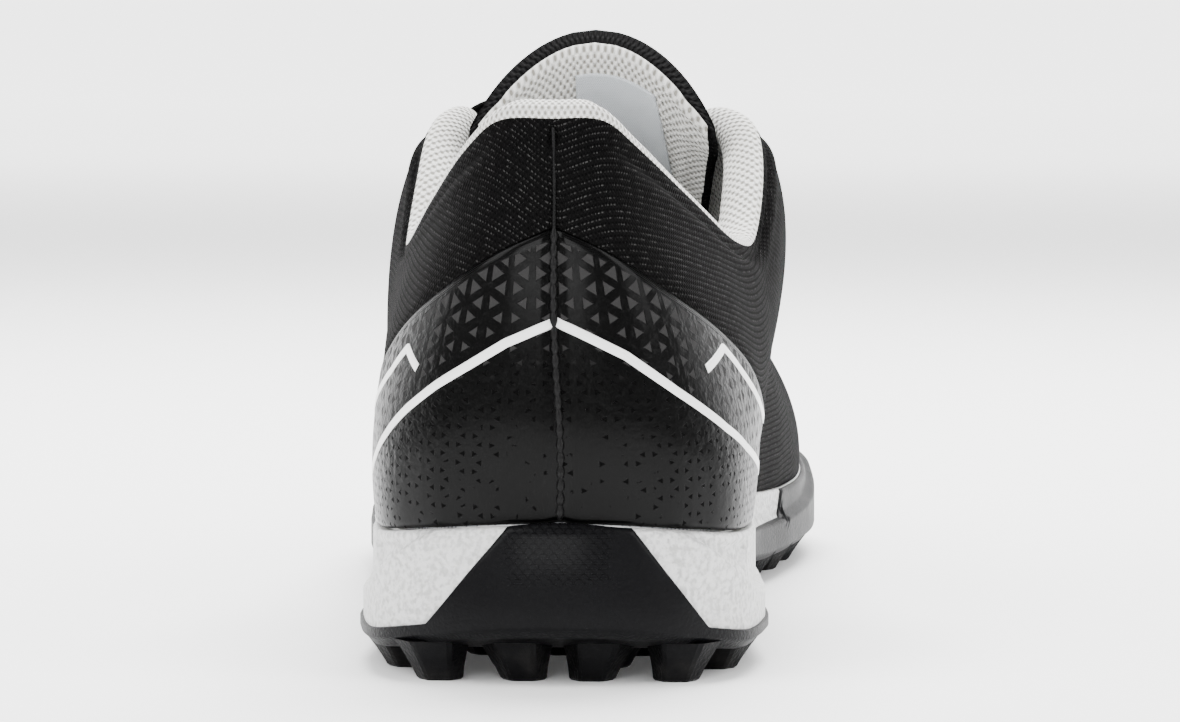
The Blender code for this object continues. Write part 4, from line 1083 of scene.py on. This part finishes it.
seam_share = np.linspace(0.012, 0.975, 420)
seam_station = 0.0012 * np.sin(seam_share * 9.0)
seam_path = last(seam_station, seam_share) - last_normal(seam_station, seam_share) * 0.00055
seam_length = np.concatenate([[0], np.cumsum(np.linalg.norm(np.diff(seam_path, axis=0), axis=1))])
beads = 0.55 + 0.45 * np.abs(np.sin(math.pi * seam_length / STITCH_PITCH))
on_film = ease((counter_edge(0.0) - seam_share) / 0.02)
seam_radius = SEAM_RADIUS * (0.45 * (1 - on_film) + beads * on_film)
tube("back_seam", seam_path, seam_radius, thread, facing=last_normal(seam_station, seam_share))

# %% [markdown]
# ## The sole
# The foam is a ring of profiles: from its seat in the rubber up the side, over the ledge, round the rim and
# down to the insole. Behind the heel its side is one smooth wing; from there a diagonal ridge runs down and
# forward, and above it the side is sunken, with a small three-cornered notch.

# %% Foam shape
RIM_SEAT = 0.0048
SOLE_COLUMNS = 480
SIDE_ROWS = 44
NOTCH_DEPTH = 0.0011


def notch(station, share):
    """Depth of the three-cornered notch: the least of three slopes, cut off at its floor."""
    size = np.abs(station)
    ledge = around(SIDE, 2, 2, station)
    inside = np.minimum((share - ledge - 0.08) / 0.10, (0.93 - share) / 0.08)
    inside = np.minimum(inside, (0.150 - size - 0.035 * (0.9 - share)) / 0.006)
    return NOTCH_DEPTH * ease(inside)


def rounded(share, start, end, size):
    """Rise from 0 to size as a quarter circle between two shares, used at corners."""
    turn = np.clip((share - start) / (end - start), 0, 1)
    return size * (1 - np.sqrt(1 - turn**2))


sole_at = dense_stations(SOLE_COLUMNS)
low, rim = plate_top(sole_at), rim_height(sole_at)
side_share = np.linspace(0, 1, SIDE_ROWS)[:, None]
heights = low + (rim - low) * side_share
level = np.broadcast_to(sole_at, heights.shape)
inset = side_inset(level, heights) + notch(level, np.broadcast_to(side_share, heights.shape))
inset = inset + rounded(side_share, 0.95, 1.0, 0.0006) + 0.0004 * hill(side_share, around(SIDE, 2, 2, level), 0.03)
foam_side = sole_point(level, inset, heights)
rim_in = side_inset(sole_at, rim)
foot = [sole_point(sole_at, 0.003 + 0 * sole_at, low + 0.0006)]
rest = [sole_point(sole_at, rim_in + 0.0012, rim), sole_point(sole_at, rim_in + RIM_SEAT - 0.001, rim),
        sole_point(sole_at, rim_in + RIM_SEAT, floor_height(around(OUTLINE, 1, 1, sole_at)) + 0.0002)]
foam_points = np.concatenate([np.stack(foot), foam_side, np.stack(rest)])
foam_u = np.broadcast_to(np.append(arc(sole_at), arc(1.0)), (len(foam_points), SOLE_COLUMNS + 1))
foam_v = np.concatenate([foam_points[..., 2], foam_points[:, :1, 2]], axis=1)

# %% [markdown]
# The rubber wraps the foam: a low lip along the sides, a tall tab behind the heel, and a cup round the
# forefoot. Its top edge follows a height curve, and the skin stands just proud of the foam.

# %% Rubber cup
HEEL_WRAP_SHIFT = 0.0022
HEEL_WRAP_TOP = 0.011
HEEL_WRAP_RUN = 0.016
HEEL_WRAP_POWER = 1.15
TOE_WRAP_MEDIAL = 0.585
TOE_WRAP_LATERAL = 0.640
WRAP_PROUD = 0.0006
WRAP_SKIN = 0.0009


def wrap_height(station):
    """Top of the rubber: the highest of the heel tab, the side lip and the forefoot cup."""
    shift = HEEL_WRAP_SHIFT / arc_from_heel(1.0)
    away = np.clip((arc_from_heel(station - shift) - HEEL_WRAP_TOP) / HEEL_WRAP_RUN, 0, 1)
    start = np.where(station > 0, TOE_WRAP_MEDIAL, TOE_WRAP_LATERAL)
    covered = np.maximum((1 - away) ** HEEL_WRAP_POWER, around(WRAP, 1, 2, station))
    covered = np.maximum(covered, ease((np.abs(station) - start) / 0.02))
    low = plate_top(station)
    return np.maximum(low + covered * (rim_height(station) - low), low + CUP_LIP)


wrap = wrap_height(sole_at)
lip_rise = 0.0006 * (1 - ease(np.abs(arc_from_heel(sole_at)) / 0.013))
root = root_height(around(OUTLINE, 1, 1, sole_at))
under = [sole_point(sole_at, 0.0022 + 0 * sole_at, root), sole_point(sole_at, 0.0010 + 0 * sole_at, root + 0.0003),
         sole_point(sole_at, 0.0003 + 0 * sole_at, root + 0.0011)]
up_share = np.linspace(0, 1, 30)[:, None]
heights = root + 0.0018 + (wrap - root - 0.0018) * up_share
level = np.broadcast_to(sole_at, heights.shape)
proud = WRAP_PROUD - rounded(up_share, 0.90, 1.0, 0.0004)
cup_side = sole_point(level, side_inset(level, heights) - proud, heights)
edge_in = side_inset(sole_at, wrap)
over = [sole_point(sole_at, edge_in + 0.0002, wrap + 0.0001 + lip_rise),
        sole_point(sole_at, edge_in + WRAP_SKIN, wrap - 0.0002 + lip_rise),
        sole_point(sole_at, edge_in + WRAP_SKIN + 0.0012, plate_top(sole_at) - 0.0004)]
cup_points = np.concatenate([np.stack(under), cup_side, np.stack(over)])
cup_u = np.broadcast_to(np.append(arc(sole_at), arc(1.0)), (len(cup_points), SOLE_COLUMNS + 1))
cup_v = np.concatenate([cup_points[..., 2], cup_points[:, :1, 2]], axis=1)
outsole = make_piece("rubber_cup", cup_points, grid_uv(cup_u, cup_v), [rubber], ring_columns=True,
                     caps=("first", "last"))
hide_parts("outsole")
midsole = make_piece("foam_midsole", foam_points, grid_uv(foam_u, foam_v), [foam], ring_columns=True,
                     caps=("first", "last"))
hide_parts("midsole")

# %% [markdown]
# Lugs stand in staggered rows under the plate, as in the CAD. One lug is a tapered, six-sided post with
# rounded corners and a shallow chevron across its tip. All lugs are worked out at once: the one lug's points
# are scaled and moved to every place.

# %% Lugs
LUG_PITCH_ALONG = 0.0172
LUG_PITCH_ACROSS = 0.0138
LUG_ROOT_RADIUS = 0.0066
LUG_TIP_RADIUS = 0.0040
LUG_DEPTH_SHARE = 0.78
LUG_TIP_SHIFT = 0.0014
LUG_EDGE_MARGIN = 0.0066


def lug_places():
    """x, y and the middle line's x of every lug: rows a pitch apart, an even number across each row."""
    half = np.linspace(0, 1, 200)
    x_medial, y_medial = outline(half)
    x_lateral, y_lateral = outline(-half)
    places = []
    for row in range(int((SOLE_LENGTH - 2 * LUG_PITCH_ALONG * 0.72) / LUG_PITCH_ALONG) + 1):
        y = LUG_PITCH_ALONG * (0.72 + row)
        right = np.interp(y, y_medial, x_medial) - LUG_EDGE_MARGIN
        left = np.interp(y, y_lateral, x_lateral) + LUG_EDGE_MARGIN
        count = max(2, int((right - left) / LUG_PITCH_ACROSS) + 1 - row % 2)
        shares = np.linspace(0, 1, count)
        if 0.33 < y / SOLE_LENGTH < 0.50:
            shares = shares[[0, -1]]
        places += [(left + (right - left) * share, y, (left + right) / 2) for share in shares]
    return np.array(places)


spots = lug_places()
along = spots[:, 1] / SOLE_LENGTH
tip = spring(along) + ARCH_RISE * ((along > 0.30) & (along < 0.53))
base_height = root_height(along) + 0.0014
corners_at = (np.arange(6) * math.pi / 3)[:, None]
ring = (corners_at + np.array([-0.09, 0.09])).ravel()
levels = np.array([1.0, 0.62, 0.30, 0.06, 0.0, 0.0])
radii = LUG_TIP_RADIUS + (LUG_ROOT_RADIUS - LUG_TIP_RADIUS) * levels**1.25
radii = radii - np.array([0, 0, 0, 0, 0.0004, 0.0028])
x = radii[:, None] * np.cos(ring)
y = radii[:, None] * np.sin(ring) * LUG_DEPTH_SHARE
ridge = np.clip(1 - np.abs(x) / (0.7 * radii[:, None]), 0, 1)
chevron = -0.0011 * np.sin(math.pi * levels[:, None]) * ridge * (y < 0)
x_all = spots[:, 0, None, None] + x + (LUG_TIP_SHIFT * np.sign(spots[:, 2] - spots[:, 0]))[:, None, None] * (
    1 - levels[:, None])
y_all = spots[:, 1, None, None] + y + chevron
z_all = tip[:, None, None] + (base_height - tip)[:, None, None] * levels[:, None] + 0 * x
lug_points = np.stack([x_all, y_all, z_all], -1)
lug_rows, lug_sides = len(levels), len(ring)
quads, corners = grid_quads(lug_rows, lug_sides, ring_columns=True)
caps = np.array([np.arange(lug_sides), (lug_rows - 1) * lug_sides + np.arange(lug_sides)[::-1]])
start = (np.arange(len(spots)) * lug_rows * lug_sides)[:, None, None]
faces = (quads[None] + start).reshape(-1, 4).tolist() + (caps[None] + start).reshape(-1, lug_sides).tolist()
lug_mesh = bpy.data.meshes.new("lugs")
lug_mesh.from_pydata((lug_points.reshape(-1, 3) + LAST_TO_FRAME).tolist(), [], faces)
lug_mesh.uv_layers.new(name="millimetres")
lug_mesh.materials.append(rubber)
turn_outwards(lug_mesh, True, None)
lugs = bpy.data.objects.new("lugs", lug_mesh)
COLLECTION.objects.link(lugs)
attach(lugs, "root")
print("lugs:", len(spots))

# %% [markdown]
# ## The tongue
# The tongue is a padded sheet, arched over the foot and rounded at its free end. Its section is a flattened
# ring: the outer half is the black knit, the inner half the white mesh, and a black binding shows all round
# the white. The section closes to the binding's thickness at the edges.

# %% Tongue as functions
TONGUE_RISE = 0.0145
TONGUE_MIDDLE = 0.010
BINDING = 0.0011


def tongue_place(part, across):
    """Outer point, unit direction into the shoe and thickness: an arc of the arch, tilted with the tongue."""
    rows = np.asarray(TONGUE, float)
    knots = np.linspace(0, 1, len(rows))
    place = [rows[:, 0] * SOLE_LENGTH, rows[:, 1] * INSTEP_HEIGHT + rows[:, 2] * TONGUE_RISE]
    scale = (HEEL_WIDTH, HEEL_WIDTH, UPPER_WALL, HEEL_WIDTH, TONGUE_RISE)
    half, radius, thick, lean, fall = (through(knots, rows[:, k + 3], part) * scale[k] for k in range(5))
    turn = across * half / radius
    run = np.stack([through(knots, p, part + 1e-3) - through(knots, p, part - 1e-3) for p in place], -1)
    run /= np.linalg.norm(run, axis=-1, keepdims=True)
    into_y, into_z = -run[..., 1], run[..., 0]
    drop = radius * (1 - np.cos(turn))
    y = through(knots, place[0], part) + into_y * drop - lean * across**2
    z = through(knots, place[1], part) + into_z * drop - fall * across**2
    point = np.stack([TONGUE_MIDDLE * HEEL_WIDTH + radius * np.sin(turn), y, z], -1)
    inward = np.stack([-np.sin(turn), into_y * np.cos(turn), into_z * np.cos(turn)], -1)
    return point, inward, thick, turn * radius


# %% Tongue
TONGUE_ROWS = 130
TONGUE_COLUMNS = 160

ring = np.linspace(0, 2 * math.pi, TONGUE_COLUMNS, endpoint=False)
part = 1 - np.linspace(1, 0, TONGUE_ROWS) ** 1.6
end = np.clip((part - 0.90) / 0.10, 0, 1)[:, None]
across = np.sign(np.cos(ring)) * np.abs(np.cos(ring)) ** 0.55
depth = 0.5 - 0.5 * np.sign(np.sin(ring)) * np.abs(np.sin(ring)) ** 0.40
part_grid, across_grid = np.broadcast_arrays(part[:, None], across[None, :])
point, inward, thick, width_arc = tongue_place(part_grid, across_grid)
swell = 1 - 0.62 * np.abs(across_grid) ** 3
closed_thick = thick * swell * (1 - 0.55 * end**2) + 0.0004 * hill(np.abs(across_grid), 0.80, 0.05)
last_rows = np.sqrt(np.clip(1 - (end * 1.0) ** 8, 0.02, 1))
middle_depth = 0.5 + (depth[None, :] - 0.5) * last_rows
tongue_points = point + inward * (closed_thick * middle_depth)[..., None]
run_length = np.concatenate([[0], np.cumsum(np.linalg.norm(np.diff(point[:, TONGUE_COLUMNS // 4], axis=0), axis=1))])
edge_distance = np.minimum(
    np.abs(np.abs(width_arc) - np.max(np.abs(width_arc), axis=1, keepdims=True)),
    (run_length[-1] - run_length)[:, None])
tongue_u = np.concatenate([width_arc, width_arc[:, :1]], axis=1)
tongue_v = np.broadcast_to(run_length[:, None], tongue_u.shape)


def tongue_paint(i, j):
    """Lining on the inner half, more than a binding's width from the edge."""
    row = np.clip(i, 0, TONGUE_ROWS - 1).astype(int)
    column = np.clip(j, 0, TONGUE_COLUMNS - 1).astype(int)
    inner = depth[column] > 0.45
    return np.where(inner & (edge_distance[row, column] > BINDING), 1, 0)


tongue = make_piece("padded_tongue", tongue_points, grid_uv(tongue_u, tongue_v), [black_knit, lining],
                    ring_columns=True, caps=("first", "last"), paint=tongue_paint)
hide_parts("tongue")

# %% [markdown]
# A woven size label is sewn to the tongue's lining. Here it is a bare grey patch, with its corners on the
# tongue's own arch.

# %% Label
label_part, label_across = np.meshgrid(np.linspace(0.50, 0.805, 40), np.linspace(-0.17, 0.53, 40), indexing="ij")
label_across = label_across + 0.60 * (0.805 - label_part) * (label_across + 0.17) / 0.70
point, inward, thick, width_arc = tongue_place(label_part, label_across)
swell = 1 - 0.62 * np.abs(label_across) ** 3
label_points = point + inward * (thick * swell + 0.00035)[..., None]
label_v = label_points[..., 2]


def into_shoe(where):
    """Direction from the tongue back towards the heel."""
    return np.array([0.0, -1.0, -0.2])


label = make_piece("tongue_label", label_points, grid_uv(width_arc, label_v), [satin], facing=into_shoe)
body = label.modifiers.new("back", "SOLIDIFY")
body.thickness = 0.0004
body.offset = -1.0

# %% [markdown]
# ## Eyelets and lace
# Six pairs of punched eyelets edge the throat. Each has a low lacquered ring with a dark hole in it. The flat
# lace crosses from one row to the next over the tongue, one bar over the other, and dives into the eyelets;
# its ends stop inside the top pair.

# %% Eyelets
EYELET_SHARE = 0.925
EYELET_STATIONS = np.linspace(0.478, 0.668, 6)
EYELET_RADIUS = 0.0021


def eyelet_at(side, row):
    """Centre and normal of one eyelet on the cloth."""
    station = np.array(EYELET_STATIONS[row] * side)
    share = np.array(EYELET_SHARE)
    return outer_face(station, share), last_normal(station, share)


def frame_on(normal):
    """Two unit vectors square to a normal."""
    first = np.cross(normal, [0.0, 0.0, 1.0])
    first /= np.linalg.norm(first)
    return first, np.cross(normal, first)


def ring_profile(side, row):
    """Rows of a lathed eyelet: from the hole's dark floor up its wall, over the rim and down outside."""
    centre, normal = eyelet_at(side, row)
    first, second = frame_on(normal)
    radius = EYELET_RADIUS * np.array([0.05, 0.75, 0.80, 0.85, 1.0, 1.2, 1.32, 1.36])
    height = np.array([-0.3, -0.25, 0.1, 0.45, 0.6, 0.5, 0.2, -0.5]) * 0.001
    turn = np.linspace(0, 2 * math.pi, 28, endpoint=False)
    flat = first * np.cos(turn)[:, None] + second * np.sin(turn)[:, None]
    return centre + radius[:, None, None] * flat + height[:, None, None] * normal


for side, word in ((1, "inner"), (-1, "outer")):
    for row in range(6):
        rows = ring_profile(side, row)
        spot_uv = grid_uv(np.zeros((9, 30)), np.zeros((9, 30)))
        make_piece(f"eyelet_{word}_{row + 1}", rows, spot_uv, [lacquer], ring_columns=True,
                   caps=("first", "last"))

# %% Lace
LACE_HALF_WIDTH = 0.0031
LACE_HALF_DEPTH = 0.00065


def smooth_path(points, count):
    """Curve through points, each coordinate a cubic in the distance between them."""
    points = np.asarray(points)
    knots = np.concatenate([[0], np.cumsum(np.linalg.norm(np.diff(points, axis=0), axis=1))])
    walk = np.linspace(0, knots[-1], count)
    return np.stack([through(knots, points[:, k], walk) for k in range(3)], -1), walk / knots[-1]


def part_on_tongue(y):
    """The tongue's length parameter at a distance along the shoe."""
    rows = np.asarray(TONGUE, float)
    return np.interp(-y / SOLE_LENGTH, -rows[:, 0], np.linspace(0, 1, len(rows)))


def lace_bar(name, first, second, hover):
    """Flat tube from one eyelet over the throat to another: eyelet, throat edge, tongue, throat edge, eyelet."""
    points, normals = [], []
    ends = []
    for side, row in (first, second):
        centre, normal = eyelet_at(side, row)
        station = np.array(EYELET_STATIONS[row] * side)
        edge = last(station, np.array(0.985))
        edge_normal = last_normal(station, np.array(0.985))
        ends.append((centre - normal * 0.0016, normal, centre + normal * (0.0012 + hover * 0.3), normal,
                     edge + edge_normal * (0.0010 + hover * 0.5), edge_normal))
    y = (ends[0][2][1] + ends[1][2][1]) / 2
    part = part_on_tongue(y)
    for across in (-0.30, 0.0, 0.30):
        point, inward, _, _ = tongue_place(np.array(part), np.array(across * first[0] * -1.0))
        slant = (across / 0.30) * 0.32 * (ends[1][2][1] - ends[0][2][1])
        point = point + np.array([0.0, slant, 0.0]) - inward * (0.0012 + hover)
        drop = tongue_place(np.array(part_on_tongue(y + slant)), np.array(across * first[0] * -1.0))[0]
        point[2] = (drop - inward * (0.0012 + hover))[2]
        points.append(point)
        normals.append(-inward)
    a, b = ends
    points = [a[0], a[2], a[4], *points, b[4], b[2], b[0]]
    normals = [a[1], a[3], a[5], *normals, b[5], b[3], b[1]]
    path, walk = smooth_path(points, 90)
    knots = np.linspace(0, 1, len(normals))
    facing = np.stack([np.interp(walk, knots, np.array(normals)[:, k]) for k in range(3)], -1)
    narrow = 0.55 + 0.45 * ease(np.minimum(walk, 1 - walk) / 0.10)
    return tube(name, path, None, braid, sides=20, flat=(LACE_HALF_WIDTH * narrow, LACE_HALF_DEPTH),
                facing=facing)


for row in range(5):
    lace_bar(f"lace_under_{row + 1}", (1, row), (-1, row + 1), 0.0)
    lace_bar(f"lace_over_{row + 1}", (-1, row), (1, row + 1), 0.0014)
lace_bar("lace_bar_low", (1, 5), (-1, 5), 0.0)
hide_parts("lace")

# %% [markdown]
# ## The insole
# The insole's CAD shape is right as it is, so the node stays and only gets the sock liner's material.

# %% Insole
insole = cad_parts["insole"]
if not insole.material_slots:
    insole.data.materials.append(sock)
for slot_of_node in insole.material_slots:
    slot_of_node.material = sock

# %% [markdown]
# ## Light and floor
# The photo is a product shot on white: soft boxes on both sides and above, whose edges show in the glossy
# film, and a weak shadow under the sole. The floor is a wide pale plane.

# %% Floor, lights and world
REACH_FLAT = 5.0
REACH_RISE = 3.0
turn, out = np.meshgrid(np.linspace(0, 2 * math.pi, 97)[:-1], np.linspace(0, 1, 33)[1:], indexing="xy")
rise = np.clip((out - 0.5) * 2, 0, 1) * math.pi / 2
distance = REACH_FLAT * np.minimum(out * 2, 1) + REACH_RISE * np.sin(rise)
sweep = np.stack([distance * np.cos(turn), distance * np.sin(turn), REACH_RISE * (1 - np.cos(rise))], -1)
quads, corners = grid_quads(32, 96, ring_columns=True)
floor_mesh = bpy.data.meshes.new("floor")
floor_mesh.from_pydata(sweep.reshape(-1, 3).tolist(), [], quads[:, ::-1].tolist() + [list(range(96))])
floor_mesh.polygons.foreach_set("use_smooth", np.ones(len(floor_mesh.polygons), bool))
floor = bpy.data.objects.new("floor", floor_mesh)
bpy.context.scene.collection.objects.link(floor)
paper, tree, shader, uv_place, place = new_material("white_paper", roughness=0.9, specular=0.1)
shader.inputs["Base Color"].default_value = (0.93, 0.93, 0.93, 1)
shader.inputs["Emission Color"].default_value = (1.0, 1.0, 1.0, 1)
split = put(tree, "ShaderNodeSeparateXYZ", {0: place})
ahead = smooth_step(tree, split.outputs[1], 0.5, 3.0)
tree.links.new(mix_value(tree, ahead, 0.06, 2.7), shader.inputs["Emission Strength"])
floor_mesh.materials.append(paper)


def soft_box(name, place, target, width, height, power):
    """A rectangular area light at a place, turned to a target."""
    light = bpy.data.lights.new(name, "AREA")
    light.shape = "RECTANGLE"
    light.size, light.size_y, light.energy = width, height, power
    lamp = bpy.data.objects.new(name, light)
    bpy.context.scene.collection.objects.link(lamp)
    lamp.location = place
    lamp.rotation_euler = (Vector(target) - Vector(place)).to_track_quat("-Z", "Y").to_euler()
    return lamp


SHOE_MIDDLE = (0.0, -0.10, 0.05)
soft_box("key_left", (-0.75, -0.60, 0.90), SHOE_MIDDLE, 0.7, 0.9, 16.0)
soft_box("fill_right", (0.85, -0.50, 0.80), SHOE_MIDDLE, 0.6, 0.9, 12.5)
soft_box("top_box", (0.05, 0.50, 1.05), SHOE_MIDDLE, 1.0, 0.8, 60.0)
soft_box("back_strip", (-0.12, -1.15, 0.50), (0.0, -0.14, 0.06), 0.5, 0.35, 5.0)
world = bpy.data.worlds.new("studio")
bpy.context.scene.world = world
world.use_nodes = True
world.node_tree.nodes["Background"].inputs[0].default_value = (1.0, 1.0, 1.0, 1)
world.node_tree.nodes["Background"].inputs[1].default_value = 0.5
